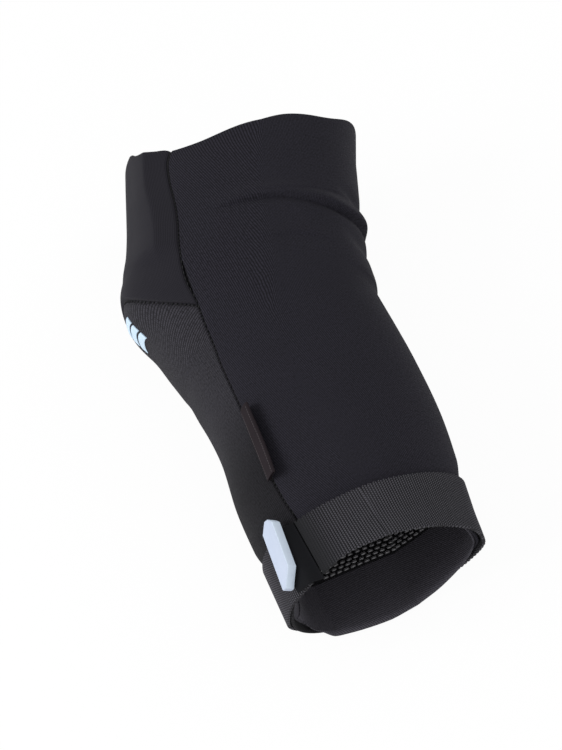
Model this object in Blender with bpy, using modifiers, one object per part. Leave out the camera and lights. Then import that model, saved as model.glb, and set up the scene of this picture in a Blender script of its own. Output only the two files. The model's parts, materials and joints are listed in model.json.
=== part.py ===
import math

import bmesh
import bpy
import numpy as np
from mathutils import Matrix, Vector

MM = 0.001

# Arm line: straight forearm along Y, round bend at the elbow, straight upper arm turned towards +X.
FOREARM_LENGTH = 143.0 * MM
UPPER_ARM_LENGTH = 90.0 * MM
MOULDED_BEND = math.radians(25.0)
BEND_RADIUS = 70.0 * MM

# Section of the sleeve: width across the arm, depth along Z, and how square the round section is.
SLEEVE_WIDTH = 104.0 * MM
SLEEVE_DEPTH = 86.0 * MM
SECTION_POWER = 2.3
SHARP_ANGLE = math.radians(40.0)
REST_FLAT = 4.5 * MM

# Profiles: place along the arm (0 forearm rim, 1 top edge) and share of half the width or depth.
PAD_SIDE_PROFILE = (
    (0.0, 0.94), (0.13, 0.92), (0.26, 0.90), (0.39, 0.82), (0.49, 0.84), (0.58, 0.90),
    (0.64, 1.18), (0.70, 1.25), (0.76, 1.21), (0.86, 1.21), (1.0, 1.31),
)
CROOK_SIDE_PROFILE = (
    (0.0, 0.93), (0.13, 1.03), (0.26, 1.12), (0.39, 1.14), (0.55, 1.11), (0.70, 1.08),
    (0.82, 1.0), (1.0, 0.90),
)
DEPTH_PROFILE = ((0.0, 0.91), (0.31, 0.93), (0.61, 1.0), (1.0, 1.0))
# How square the section is on the crook side: pointed where the strap folds, round further up.
CROOK_POWER_PROFILE = ((0.0, 1.55), (0.13, 1.6), (0.30, 2.1), (0.45, SECTION_POWER), (1.0, SECTION_POWER))
# True angle of the side seams, counted from the middle of the pad, in degrees.
SEAM_PROFILE = (
    (0.0, 54.0), (0.14, 51.0), (0.30, 48.0), (0.43, 47.0), (0.53, 51.0), (0.60, 58.0), (0.65, 62.0),
    (0.74, 60.0), (1.0, 54.0),
)
# Top edge: waves round the arm, from one to six to a turn; the first slants the edge towards the pad.
TOP_WAVES = (-14.7 * MM, 3.8 * MM, 1.4 * MM, 2.1 * MM, -1.9 * MM, -1.3 * MM)
# The hem reaches out past the strap on the side that lies on the floor.
RIM_DROP = 6.5 * MM
RIM_DROP_POWER = 4.0

# Net of the sleeve: lattice angle 0 is the middle of the pad, the side seams lie at plus and minus SEAM_ANGLE.
SEAM_ANGLE = 50.0
COLUMN_ANGLE = 10.0
HALF_TURN = 180.0
FULL_TURN = 2 * HALF_TURN

# Clearances between pieces that touch.
FIT_GAP = 0.3 * MM
SEAM_GAP_ANGLE = 0.45
EDGE_GAP = 0.4 * MM

# Cloth layers, from the outside in.
CLOTH_THICKNESS = 1.6 * MM
LINING_THICKNESS = 1.0 * MM
TAPE_THICKNESS = 0.8 * MM
SEAM_RIDGE_THICKNESS = 1.2 * MM
SEAM_RIDGE_HALF_ANGLE = 3.4

# Elbow joint: the cloth left free to fold on the crook side and to stretch above the pad.
FLEXION = math.radians(60.0)
EXTENSION = math.radians(20.0)
JOINT_MARGIN = 2.2 * MM
JOINT_GAP = 0.6 * MM
FREE_ROWS = 20

# Padded panel.
PAD_TOP = 155.4 * MM
PAD_ARCH = 15.6 * MM
PAD_ARCH_POINT = 6.0
PAD_ROWS = 9
PAD_HALF_ANGLE = 40.0
PAD_EDGE_THICKNESS = 1.6 * MM
PAD_CROWN = 6.0 * MM
PAD_SEAM_WIDTH = 4.0 * MM

# Strap round the forearm end.
STRAP_WIDTH = 29.0 * MM
STRAP_THICKNESS = 1.6 * MM
STRAP_EASE = 12.0 * MM
STRAP_START_ANGLE = 40.0
STRAP_HINGE_ANGLE = 48.0
STRAP_END_TIP_ANGLE = 31.5
STRAP_END_RISE_ANGLE = 8.0
STRAP_END_THICKNESS = 1.2 * MM
HOOK_THICKNESS = 0.8 * MM
HOOK_START_ANGLE = 32.5
HOOK_END_ANGLE = 39.0
HOOK_INSET = 2.5 * MM
LOOP_MARGIN_ANGLE = 0.5

# Pull tab on the strap end.
TAB_LENGTH = 32.5 * MM
TAB_WIDTH = 7.6 * MM
TAB_THICKNESS = 5.8 * MM
TAB_CHAMFER = 5.0 * MM
TAB_BEVEL = 0.7 * MM
TAB_STATION = 16.5 * MM
TAB_ANGLE = 38.0
TAB_TILT = math.radians(8.0)

# Inside of the forearm end.
FACING_WIDTH = 20.0 * MM
GRIP_WIDTH = 12.0 * MM
GRIP_INSET_ANGLE = 14.0
GRIP_MARGIN = 1.0 * MM
GRIP_FILM = 0.4 * MM
GRIP_BAR_HEIGHT = 0.8 * MM
GRIP_PERIODS = 24
GRIP_ROWS = 3

# Inside of the top edge.
TOP_BAND_WIDTH = 20.0 * MM
TOP_BAND_INSET = 2.0 * MM

# Folded label in the near side seam.
LABEL_LENGTH = 38.0 * MM
LABEL_HEIGHT = 9.0 * MM
LABEL_STRIP = 0.5 * MM
LABEL_FOLD = 0.45 * MM
LABEL_STATION = 73.0 * MM
LABEL_LIFT = 1.35 * MM
LABEL_LEAN = math.radians(70.0)

# Rubber patch at the elbow tip, between the pad insert and the seam above it.
PATCH_HALF_ANGLE = COLUMN_ANGLE
PATCH_THICKNESS = 0.6 * MM

# Folds of the cloth in the crook: station of each crease, with the lattice angles between which it runs.
FOLD_CREASES = ((188.0 * MM, 70.0, 230.0), (177.0 * MM, 120.0, 230.0), (166.0 * MM, 78.0, 220.0))
FOLD_DEPTH = 1.2 * MM
FOLD_BULGE = 2.2 * MM
FOLD_WIDTH = 3.6 * MM
FOLD_FADE_ANGLE = 35.0
UPPER_ROWS = 20

# Lengths that follow from the arm line.
BEND_TANGENT = BEND_RADIUS * math.tan(MOULDED_BEND / 2)
BEND_START = FOREARM_LENGTH - BEND_TANGENT
BEND_END = BEND_START + BEND_RADIUS * MOULDED_BEND
ARM_LENGTH = BEND_END + UPPER_ARM_LENGTH - BEND_TANGENT
STRAP_SEAT = FIT_GAP + STRAP_THICKNESS
INNER_LAYER = CLOTH_THICKNESS + FIT_GAP
LOOP_LEVEL = STRAP_SEAT + FIT_GAP
HOOK_LEVEL = LOOP_LEVEL + HOOK_THICKNESS + FIT_GAP
END_LEVEL = HOOK_LEVEL + HOOK_THICKNESS + FIT_GAP
TAB_LEVEL = END_LEVEL + STRAP_END_THICKNESS + FIT_GAP
PAD_LOW = STRAP_WIDTH * 2 / 3
LINING_HALF_ANGLE = SEAM_ANGLE - SEAM_RIDGE_HALF_ANGLE - 3 * SEAM_GAP_ANGLE
# Rows of the net at the forearm end, shared by all layers so that they stay parallel.
CUFF_ROWS = (
    STRAP_WIDTH / 3, PAD_LOW, STRAP_WIDTH, STRAP_WIDTH + STRAP_EASE / 2,
    STRAP_WIDTH + STRAP_EASE, STRAP_WIDTH + 2 * STRAP_EASE,
)


def clear_scene():
    for item in list(bpy.data.objects):
        bpy.data.objects.remove(item, do_unlink=True)


def smooth(value):
    value = np.clip(value, 0.0, 1.0)
    return value * value * (3.0 - 2.0 * value)


def follow(profile, place):
    # Smooth curve through the points of a profile.
    stations = np.array([point[0] for point in profile])
    values = np.array([point[1] for point in profile])
    slopes = np.gradient(values, stations)
    cell = np.clip(np.searchsorted(stations, place) - 1, 0, len(stations) - 2)
    span = stations[cell + 1] - stations[cell]
    t = np.clip((place - stations[cell]) / span, 0.0, 1.0)
    start = (2 * t**3 - 3 * t**2 + 1) * values[cell] + (t**3 - 2 * t**2 + t) * span * slopes[cell]
    end = (3 * t**2 - 2 * t**3) * values[cell + 1] + (t**3 - t**2) * span * slopes[cell + 1]
    return start + end


def arm_line(station):
    # Place of the arm's middle line in plan, and its turn from +Y towards +X.
    turn = np.clip((station - BEND_START) / BEND_RADIUS, 0.0, MOULDED_BEND)
    beyond = np.maximum(station - BEND_END, 0.0)
    x = BEND_RADIUS * (1 - np.cos(turn)) + beyond * math.sin(MOULDED_BEND)
    y = np.minimum(station, BEND_START) - FOREARM_LENGTH
    y = y + BEND_RADIUS * np.sin(turn) + beyond * math.cos(MOULDED_BEND)
    return x, y, turn


def strap_seat(station):
    # The strap draws the cloth in by its own thickness.
    return STRAP_SEAT * (1.0 - smooth((station - STRAP_WIDTH) / STRAP_EASE))


def section_angle(station, angle):
    # True angle round the arm of a lattice angle: the net is drawn so that the seams are straight lines.
    angle = np.mod(angle + SEAM_ANGLE, FULL_TURN) - SEAM_ANGLE
    seam = follow(SEAM_PROFILE, station / ARM_LENGTH)
    front = angle * seam / SEAM_ANGLE
    back = HALF_TURN + (angle - HALF_TURN) * (HALF_TURN - seam) / (HALF_TURN - SEAM_ANGLE)
    return np.radians(np.where(angle <= SEAM_ANGLE, front, back))


def sleeve_point(station, angle):
    # Outer face of the cloth.
    turn = section_angle(station, angle)
    near_top = np.clip(4.0 * station / ARM_LENGTH - 3.0, 0.0, 1.0) ** 2
    for count, wave in enumerate(TOP_WAVES, start=1):
        station = station + near_top * wave * np.cos(count * turn)
    place = station / ARM_LENGTH
    seat = strap_seat(station)
    pad_reach = follow(PAD_SIDE_PROFILE, place) * SLEEVE_WIDTH / 2 - seat
    crook_reach = follow(CROOK_SIDE_PROFILE, place) * SLEEVE_WIDTH / 2 - seat
    half_depth = follow(DEPTH_PROFILE, place) * SLEEVE_DEPTH / 2
    power = np.where(np.cos(turn) > 0, SECTION_POWER, follow(CROOK_POWER_PROFILE, place))
    across = np.sign(np.cos(turn)) * np.abs(np.cos(turn)) ** (2 / power)
    across = across * np.where(np.cos(turn) > 0, pad_reach, crook_reach)
    upward = np.sign(np.sin(turn)) * np.abs(np.sin(turn)) ** (2 / power)
    x, y, heading = arm_line(station)
    height = half_depth - REST_FLAT + upward * (half_depth - seat)
    return np.stack(
        [x - np.cos(heading) * across, y + np.sin(heading) * across, np.maximum(height, seat)], axis=-1
    )


def sleeve_frame(station, angle):
    # Point on the cloth with the directions along the arm, round the arm and outwards.
    station = np.asarray(station, dtype=float)
    angle = np.asarray(angle, dtype=float)
    step = 0.3 * MM
    swing = 0.3
    along = sleeve_point(station + step, angle) - sleeve_point(station - step, angle)
    around = sleeve_point(station, angle + swing) - sleeve_point(station, angle - swing)
    along = along / np.linalg.norm(along, axis=-1, keepdims=True)
    outward = np.cross(around, along)
    outward = outward / np.linalg.norm(outward, axis=-1, keepdims=True)
    return sleeve_point(station, angle), along, np.cross(along, outward), outward


def layer_point(station, angle, level):
    # Point of a layer that lies the given level outside (or, if negative, inside) the cloth's outer face.
    # Between the shared columns every layer is flat, so layers with different columns stay parallel.
    first = np.floor(np.asarray(angle) / COLUMN_ANGLE) * COLUMN_ANGLE
    share = ((angle - first) / COLUMN_ANGLE)[..., None]
    level = np.asarray(level)[..., None]
    ends = []
    for column in (first, first + COLUMN_ANGLE):
        point, along, around, outward = sleeve_frame(station, column)
        ends.append(point + outward * level)
    return ends[0] * (1.0 - share) + ends[1] * share


def ray(angle):
    return np.array([math.cos(angle), math.sin(angle)])


def plan_angle(point):
    return math.atan2(point[1] - ELBOW[1], point[0] - ELBOW[0])


def pad_top(angle):
    # Top seam of the padded panel: a pointed arch over the elbow tip.
    fall = np.hypot(1.0, PAD_ARCH_POINT * np.asarray(angle) / SEAM_ANGLE) - 1.0
    return PAD_TOP - PAD_ARCH * fall / (math.hypot(1.0, PAD_ARCH_POINT) - 1.0)


def rim_edge(angle):
    # Lower edge of the back panel.
    floor_side = np.maximum(-np.sin(section_angle(0.0, angle)), 0.0)
    return -RIM_DROP * floor_side ** RIM_DROP_POWER


def last_station(angle, normals, margin, rising):
    # Station at which a line along the arm meets the edge of the free wedge at the elbow joint.
    low = np.full(len(angle), BEND_START - SLEEVE_WIDTH * 2 / 3)
    high = np.full(len(angle), BEND_END + SLEEVE_WIDTH * 2 / 3)
    for _ in range(40):
        middle = (low + high) / 2
        plan = sleeve_point(middle, angle)[:, :2] - ELBOW
        beyond = np.max([plan @ normal for normal in normals], axis=0) + margin > 0
        inside = ~beyond if rising else beyond
        low = np.where(inside, middle, low)
        high = np.where(inside, high, middle)
    return (low + high) / 2


def forearm_edge(angle, margin):
    crook = ray(CROOK_MIDDLE - FLEXION / 2)
    pad = ray(plan_angle(sleeve_point(pad_top(SEAM_ANGLE), SEAM_ANGLE)))
    normals = [np.array([-crook[1], crook[0]]), np.array([pad[1], -pad[0]])]
    return last_station(np.asarray(angle), normals, margin, True)


def upper_edge(angle, margin):
    crook = ray(CROOK_MIDDLE + FLEXION / 2)
    pad = ray(plan_angle(sleeve_point(PAD_TOP, 0.0)) - EXTENSION)
    normals = [np.array([crook[1], -crook[0]]), np.array([-pad[1], pad[0]])]
    return last_station(np.asarray(angle), normals, margin, False)


def columns(first, last, step=COLUMN_ANGLE):
    # Lattice angles from first to last, at the shared columns of the net in between.
    count = int(math.floor(last / step)) + 1
    inner = [i * step for i in range(int(math.ceil(first / step)), count)]
    inner = [angle for angle in inner if first + 1.5 < angle < last - 1.5]
    return np.array([first] + inner + [last])


def make_material(name, colour, roughness):
    material = bpy.data.materials.new(name)
    material.use_nodes = True
    shader = material.node_tree.nodes["Principled BSDF"]
    shader.inputs["Base Color"].default_value = (*colour, 1.0)
    shader.inputs["Roughness"].default_value = roughness
    shader.inputs["Metallic"].default_value = 0.0
    return material


def keep(item, name, material):
    item.name = name
    item.data.name = name
    item.data.materials.clear()
    item.data.materials.append(material)
    for owner in list(item.users_collection):
        owner.objects.unlink(item)
    PARTS.objects.link(item)
    return item


def even_rows(angles, low, high, count):
    # Stations of rows spread evenly between two edges, for every column.
    low = np.broadcast_to(low, len(angles))
    high = np.broadcast_to(high, len(angles))
    share = np.linspace(0.0, 1.0, count + 1)[:, None]
    return low + share * (high - low)


def cuff_rows(angles, first, high, count):
    # The lowest edge and the shared rows at the forearm end, then even rows up to the given edge.
    lower = [np.broadcast_to(first, len(angles))]
    for station in CUFF_ROWS:
        if station > lower[0].max() + EDGE_GAP:
            lower.append(np.full(len(angles), station))
    return np.vstack([np.array(lower), even_rows(angles, CUFF_ROWS[-1], high, count)[1:]])


def grid_net(angles, stations):
    # Flat grid whose corners take stations and lattice angles.
    rows = len(stations) - 1
    bpy.ops.mesh.primitive_grid_add(x_subdivisions=len(angles) - 1, y_subdivisions=rows, size=2.0)
    item = bpy.context.object
    flat = np.array([vertex.co for vertex in item.data.vertices])
    column = np.rint((flat[:, 0] + 1) / 2 * (len(angles) - 1)).astype(int)
    row = np.rint((flat[:, 1] + 1) / 2 * rows).astype(int)
    return item, stations[row, column], angles[column]


def make_patch(name, material, angles, stations, level, thickness, closed=False):
    # A piece of cloth: a patch of the sleeve's net at one level, thickened inwards.
    item, station, angle = grid_net(angles, stations)
    level = level(station, angle) if callable(level) else np.full(len(station), level)
    item.data.vertices.foreach_set("co", layer_point(station, angle, level).ravel())
    if closed:
        mesh = bmesh.new()
        mesh.from_mesh(item.data)
        bmesh.ops.remove_doubles(mesh, verts=mesh.verts, dist=0.01 * MM)
        mesh.to_mesh(item.data)
        mesh.free()
    shell = item.modifiers.new("thickness", "SOLIDIFY")
    shell.offset = -1.0
    shell.use_even_offset = True
    if callable(thickness):
        amount = thickness(station, angle)
        shell.thickness = float(amount.max())
        group = item.vertex_groups.new(name="thickness")
        for index, share in enumerate(amount / amount.max()):
            group.add([index], float(share), "REPLACE")
        shell.vertex_group = group.name
    else:
        shell.thickness = thickness
    return keep(item, name, material)


def shade(item):
    # The thickened shape becomes the mesh, smooth but for its cut edges.
    graph = bpy.context.evaluated_depsgraph_get()
    item.data = bpy.data.meshes.new_from_object(item.evaluated_get(graph))
    item.data.name = item.name
    item.modifiers.clear()
    item.data.shade_smooth()
    item.data.set_sharp_from_angle(angle=SHARP_ANGLE)


def hang_on(empty, *items):
    # Put the origin of the pieces on their joint.
    for item in items:
        item.data.transform(item.matrix_world)
        item.matrix_world = Matrix.Identity(4)
        item.data.transform(Matrix.Translation(-empty.location))
        item.parent = empty


def make_empty(name, place):
    empty = bpy.data.objects.new(name, None)
    empty.location = Vector(place)
    PARTS.objects.link(empty)
    return empty


def pad_high(angle):
    # Upper edge of the pad insert: one row of the net below the seam.
    return CUFF_ROWS[-1] + (pad_top(angle) - CUFF_ROWS[-1]) * (PAD_ROWS - 1) / PAD_ROWS


def pad_thickness(station, angle):
    # Crown in the middle of the pad, thin at its edge.
    middle = (pad_high(angle) + PAD_LOW) / 2
    reach = (pad_high(angle) - PAD_LOW) / 2
    across = np.clip(1.0 - (angle / PAD_HALF_ANGLE) ** 2, 0.0, 1.0)
    lengthwise = np.clip(1.0 - ((station - middle) / reach) ** 4, 0.0, 1.0)
    return PAD_EDGE_THICKNESS + PAD_CROWN * across * lengthwise


def lining_level(station, angle):
    # The lining follows the inside of the pad and comes up to the cover beyond the pad's edge.
    sideways = (np.abs(angle) - PAD_HALF_ANGLE) / (LINING_HALF_ANGLE - PAD_HALF_ANGLE)
    below = (PAD_LOW - station) / (PAD_LOW - CUFF_ROWS[0])
    above = (station - pad_high(angle)) / (pad_top(angle) - PAD_SEAM_WIDTH - EDGE_GAP - pad_high(angle))
    beyond = np.maximum(np.maximum(sideways, below), above)
    depth = (pad_thickness(station, angle) + FIT_GAP) * np.clip(1.0 - beyond, 0.0, 1.0)
    return -INNER_LAYER - depth


def fold_level(station, angle):
    # Each crease of the cloth in the crook is drawn in, and the cloth below it bulges out.
    level = np.zeros(len(station))
    for crease, first, last in FOLD_CREASES:
        inside = smooth((angle - first) / FOLD_FADE_ANGLE) * smooth((last - angle) / FOLD_FADE_ANGLE)
        above = (station - crease) / FOLD_WIDTH
        level = level + inside * (FOLD_BULGE * np.exp(-((above + 1.6) ** 2)) - FOLD_DEPTH * np.exp(-(above**2)))
    return level


def strap_end_level(station, angle):
    rise = smooth((STRAP_HINGE_ANGLE - angle) / STRAP_END_RISE_ANGLE)
    return FIT_GAP + STRAP_END_THICKNESS + rise * (END_LEVEL - FIT_GAP)


def make_grip_bars(material):
    # Thin rubber film with rows of raised bars, set like bricks, facing the arm.
    first = SEAM_ANGLE + GRIP_INSET_ANGLE
    angles = np.linspace(first, FULL_TURN - first, 2 * GRIP_PERIODS + 1)
    bands = 2 * GRIP_ROWS + 1
    low = FACING_WIDTH + 2 * GRIP_MARGIN
    high = FACING_WIDTH + GRIP_WIDTH
    item, station, angle = grid_net(angles, even_rows(angles, low, high, bands))
    level = np.full(len(station), -INNER_LAYER - TAPE_THICKNESS - FIT_GAP)
    item.data.vertices.foreach_set("co", layer_point(station, angle, level).ravel())
    mesh = bmesh.new()
    mesh.from_mesh(item.data)
    mesh.faces.ensure_lookup_table()
    raised = mesh.faces.layers.int.new("raised")
    for face in mesh.faces:
        band = face.index // (2 * GRIP_PERIODS)
        column = face.index % (2 * GRIP_PERIODS)
        is_bar = band % 2 == 1 and (column + band // 2) % 2 == 0
        face[raised] = 1 if is_bar else 0
    outer = list(mesh.faces)
    bmesh.ops.solidify(mesh, geom=outer, thickness=GRIP_FILM)
    mesh.normal_update()
    bars = []
    for face in mesh.faces:
        if face[raised] == 1 and face not in outer:
            bars.append(face)
    lifted = bmesh.ops.extrude_discrete_faces(mesh, faces=bars)["faces"]
    for face in lifted:
        face.normal_update()
        bmesh.ops.translate(mesh, verts=face.verts, vec=face.normal * GRIP_BAR_HEIGHT)
    bmesh.ops.recalc_face_normals(mesh, faces=mesh.faces)
    mesh.to_mesh(item.data)
    mesh.free()
    return keep(item, "cuff_grip_bars", material)


def make_tab(material):
    # Moulded tab: long plate with cut corners, flat against the strap end.
    half_width = TAB_WIDTH / 2
    half_length = TAB_LENGTH / 2
    cut = TAB_CHAMFER
    outline = [
        (-half_width, -half_length), (0.4 * cut - half_width, -half_length),
        (half_width, 1.7 * cut - half_length), (half_width, half_length - 0.4 * cut),
        (half_width - 0.4 * cut, half_length), (0.7 * cut - half_width, half_length),
        (-half_width, half_length - cut),
    ]
    mesh = bmesh.new()
    face = mesh.faces.new([mesh.verts.new((x, y, 0.0)) for x, y in outline])
    body = bmesh.ops.extrude_face_region(mesh, geom=[face])
    top = [item for item in body["geom"] if isinstance(item, bmesh.types.BMVert)]
    bmesh.ops.translate(mesh, verts=top, vec=(0.0, 0.0, TAB_THICKNESS))
    bmesh.ops.recalc_face_normals(mesh, faces=mesh.faces)
    data = bpy.data.meshes.new("pull_tab")
    mesh.to_mesh(data)
    mesh.free()
    item = bpy.data.objects.new("pull_tab", data)
    point, along, around, outward = sleeve_frame(TAB_STATION, TAB_ANGLE)
    place = Matrix((
        (around[0], along[0], outward[0], point[0]),
        (around[1], along[1], outward[1], point[1]),
        (around[2], along[2], outward[2], point[2]),
        (0.0, 0.0, 0.0, 1.0),
    ))
    item.matrix_world = place @ Matrix.Translation((0.0, 0.0, TAB_LEVEL)) @ Matrix.Rotation(-TAB_TILT, 4, "Z")
    edges = item.modifiers.new("rounded edges", "BEVEL")
    edges.width = TAB_BEVEL
    edges.segments = 2
    edges.limit_method = "ANGLE"
    return keep(item, "pull_tab", material)


def make_label(material):
    # Strip of tape folded in half into a loop, standing in the side seam and leaning over the back panel.
    inner = LABEL_FOLD / 2
    outer = inner + LABEL_STRIP
    profile = [(-outer, 0.0), (-outer, LABEL_HEIGHT - outer)]
    steps = 6
    for i in range(1, steps):
        turn = math.pi * (1 - i / steps)
        profile.append((outer * math.cos(turn), LABEL_HEIGHT - outer + outer * math.sin(turn)))
    profile += [(outer, LABEL_HEIGHT - outer), (outer, 0.0), (inner, 0.0), (inner, LABEL_HEIGHT - outer)]
    for i in range(1, steps):
        turn = math.pi * i / steps
        profile.append((inner * math.cos(turn), LABEL_HEIGHT - outer + inner * math.sin(turn)))
    profile += [(-inner, LABEL_HEIGHT - outer), (-inner, 0.0)]
    mesh = bmesh.new()
    face = mesh.faces.new([mesh.verts.new((x, -LABEL_LENGTH / 2, z)) for x, z in profile])
    body = bmesh.ops.extrude_face_region(mesh, geom=[face])
    end = [item for item in body["geom"] if isinstance(item, bmesh.types.BMVert)]
    bmesh.ops.translate(mesh, verts=end, vec=(0.0, LABEL_LENGTH, 0.0))
    bmesh.ops.recalc_face_normals(mesh, faces=mesh.faces)
    data = bpy.data.meshes.new("side_label")
    mesh.to_mesh(data)
    mesh.free()
    item = bpy.data.objects.new("side_label", data)
    point, along, around, outward = sleeve_frame(LABEL_STATION, SEAM_ANGLE)
    root = point + outward * LABEL_LIFT
    place = Matrix((
        (around[0], along[0], outward[0], root[0]),
        (around[1], along[1], outward[1], root[1]),
        (around[2], along[2], outward[2], root[2]),
        (0.0, 0.0, 0.0, 1.0),
    ))
    item.matrix_world = place @ Matrix.Rotation(LABEL_LEAN, 4, "Y")
    return keep(item, "side_label", material), root


clear_scene()
PARTS = bpy.data.collections.new("elbow_pad")
bpy.context.scene.collection.children.link(PARTS)

ELBOW = np.array([float(value) for value in arm_line((BEND_START + BEND_END) / 2)[:2]])
CROOK_MIDDLE = -MOULDED_BEND / 2
FRONT_ANGLES = columns(SEAM_GAP_ANGLE - SEAM_ANGLE, SEAM_ANGLE - SEAM_GAP_ANGLE)
BACK_ANGLES = columns(SEAM_ANGLE + SEAM_GAP_ANGLE, FULL_TURN - SEAM_ANGLE - SEAM_GAP_ANGLE)

sleeve_knit = make_material("sleeve knit", (0.018, 0.018, 0.024), 0.9)
panel_knit = make_material("front panel knit", (0.027, 0.027, 0.031), 0.9)
pad_knit = make_material("pad cover knit", (0.034, 0.034, 0.039), 0.85)
foam = make_material("pad foam", (0.05, 0.05, 0.055), 0.8)
lining_cloth = make_material("lining cloth", (0.02, 0.02, 0.025), 0.95)
webbing = make_material("elastic webbing", (0.045, 0.045, 0.05), 0.8)
smooth_strap = make_material("smooth strap cloth", (0.015, 0.015, 0.018), 0.8)
hook_loop = make_material("hook and loop", (0.01, 0.01, 0.011), 0.95)
tab_plastic = make_material("pale tab rubber", (0.55, 0.62, 0.78), 0.5)
grip_rubber = make_material("grip rubber", (0.02, 0.02, 0.02), 0.35)
tape = make_material("elastic tape", (0.012, 0.012, 0.014), 0.9)
label_tape = make_material("label tape", (0.035, 0.025, 0.022), 0.7)
patch_rubber = make_material("pale blue rubber", (0.5, 0.62, 0.75), 0.5)

# Sleeve: back panel in three lengths, front panels and the padded panel.
back_forearm_top = forearm_edge(BACK_ANGLES, JOINT_MARGIN)
back_upper_low = upper_edge(BACK_ANGLES, JOINT_MARGIN)
free_low = forearm_edge(BACK_ANGLES, JOINT_MARGIN - JOINT_GAP)
free_high = upper_edge(BACK_ANGLES, JOINT_MARGIN - JOINT_GAP)
front_free_high = upper_edge(FRONT_ANGLES, JOINT_MARGIN - JOINT_GAP)
make_patch(
    "back_panel_forearm", sleeve_knit, BACK_ANGLES,
    cuff_rows(BACK_ANGLES, rim_edge(BACK_ANGLES), back_forearm_top, PAD_ROWS), 0.0, CLOTH_THICKNESS,
)
make_patch(
    "back_panel_elbow", sleeve_knit, BACK_ANGLES,
    even_rows(BACK_ANGLES, free_low, free_high, FREE_ROWS), fold_level, CLOTH_THICKNESS,
)
back_upper = make_patch(
    "back_panel_upper", sleeve_knit, BACK_ANGLES,
    even_rows(BACK_ANGLES, back_upper_low, ARM_LENGTH, UPPER_ROWS), fold_level, CLOTH_THICKNESS,
)
front_upper = make_patch(
    "front_upper_panel", panel_knit, FRONT_ANGLES,
    even_rows(FRONT_ANGLES, upper_edge(FRONT_ANGLES, JOINT_MARGIN), ARM_LENGTH, 5), 0.0, CLOTH_THICKNESS,
)
make_patch(
    "front_stretch_panel", panel_knit, FRONT_ANGLES,
    even_rows(FRONT_ANGLES, pad_top(FRONT_ANGLES) + EDGE_GAP, front_free_high, 6), 0.0, CLOTH_THICKNESS,
)
cover_rows = cuff_rows(FRONT_ANGLES, 0.0, pad_high(FRONT_ANGLES), PAD_ROWS - 1)
cover_top = pad_top(FRONT_ANGLES)
make_patch(
    "pad_cover", pad_knit, FRONT_ANGLES,
    np.vstack([cover_rows, cover_top - PAD_SEAM_WIDTH - EDGE_GAP, cover_top]), 0.0, CLOTH_THICKNESS,
)

# Inside the padded panel.
pad_angles = columns(-PAD_HALF_ANGLE, PAD_HALF_ANGLE)
make_patch(
    "pad_insert", foam, pad_angles,
    cuff_rows(pad_angles, PAD_LOW, pad_high(pad_angles), PAD_ROWS - 1), -INNER_LAYER, pad_thickness,
)
lining_angles = columns(-LINING_HALF_ANGLE, LINING_HALF_ANGLE)
lining_top = pad_top(lining_angles) - PAD_SEAM_WIDTH - EDGE_GAP
lining_rows = cuff_rows(lining_angles, CUFF_ROWS[0] / 2, pad_high(lining_angles), PAD_ROWS - 1)
make_patch(
    "pocket_lining", lining_cloth, lining_angles, np.vstack([lining_rows, lining_top]),
    lining_level, LINING_THICKNESS,
)
make_patch(
    "pad_top_seam", tape, lining_angles,
    even_rows(lining_angles, lining_top + 2 * EDGE_GAP, pad_top(lining_angles), 1),
    -INNER_LAYER - FIT_GAP / 2, SEAM_RIDGE_THICKNESS,
)

# Seam ridges inside the sleeve, left open at the elbow joint.
ridges = []
for side, middle in (("near", SEAM_ANGLE), ("far", FULL_TURN - SEAM_ANGLE)):
    spread = np.array([middle - SEAM_RIDGE_HALF_ANGLE, middle, middle + SEAM_RIDGE_HALF_ANGLE])
    ridges.append(make_patch(
        side + "_seam_forearm", tape, spread,
        cuff_rows(spread, CUFF_ROWS[0] / 2, forearm_edge(spread, JOINT_MARGIN), PAD_ROWS),
        -INNER_LAYER, SEAM_RIDGE_THICKNESS,
    ))
    ridge_top = ARM_LENGTH - TOP_BAND_WIDTH - TOP_BAND_INSET - EDGE_GAP
    ridges.append(make_patch(
        side + "_seam_upper", tape, spread, even_rows(spread, upper_edge(spread, JOINT_MARGIN), ridge_top, 5),
        -INNER_LAYER, SEAM_RIDGE_THICKNESS,
    ))

# Grip inside the forearm end and inside the top edge.
cuff_first = SEAM_ANGLE + GRIP_INSET_ANGLE / 2
cuff_angles = columns(cuff_first, FULL_TURN - cuff_first)
make_patch(
    "cuff_facing", sleeve_knit, cuff_angles,
    even_rows(cuff_angles, rim_edge(cuff_angles) + EDGE_GAP, FACING_WIDTH, 2), -INNER_LAYER, LINING_THICKNESS,
)
tape_low = FACING_WIDTH + EDGE_GAP
tape_angles = columns(cuff_first, FULL_TURN - cuff_first, COLUMN_ANGLE / 2)
make_patch(
    "cuff_grip_tape", tape, tape_angles,
    even_rows(tape_angles, tape_low, tape_low + GRIP_WIDTH, 3), -INNER_LAYER, TAPE_THICKNESS,
)
make_grip_bars(grip_rubber)
ring_angles = np.arange(0.0, FULL_TURN + 1.0, COLUMN_ANGLE)
top_band_low = ARM_LENGTH - TOP_BAND_WIDTH - TOP_BAND_INSET
top_band = make_patch(
    "top_grip_band", tape, ring_angles,
    even_rows(ring_angles, top_band_low, ARM_LENGTH - TOP_BAND_INSET, 2),
    -INNER_LAYER, LINING_THICKNESS, closed=True,
)

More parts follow.
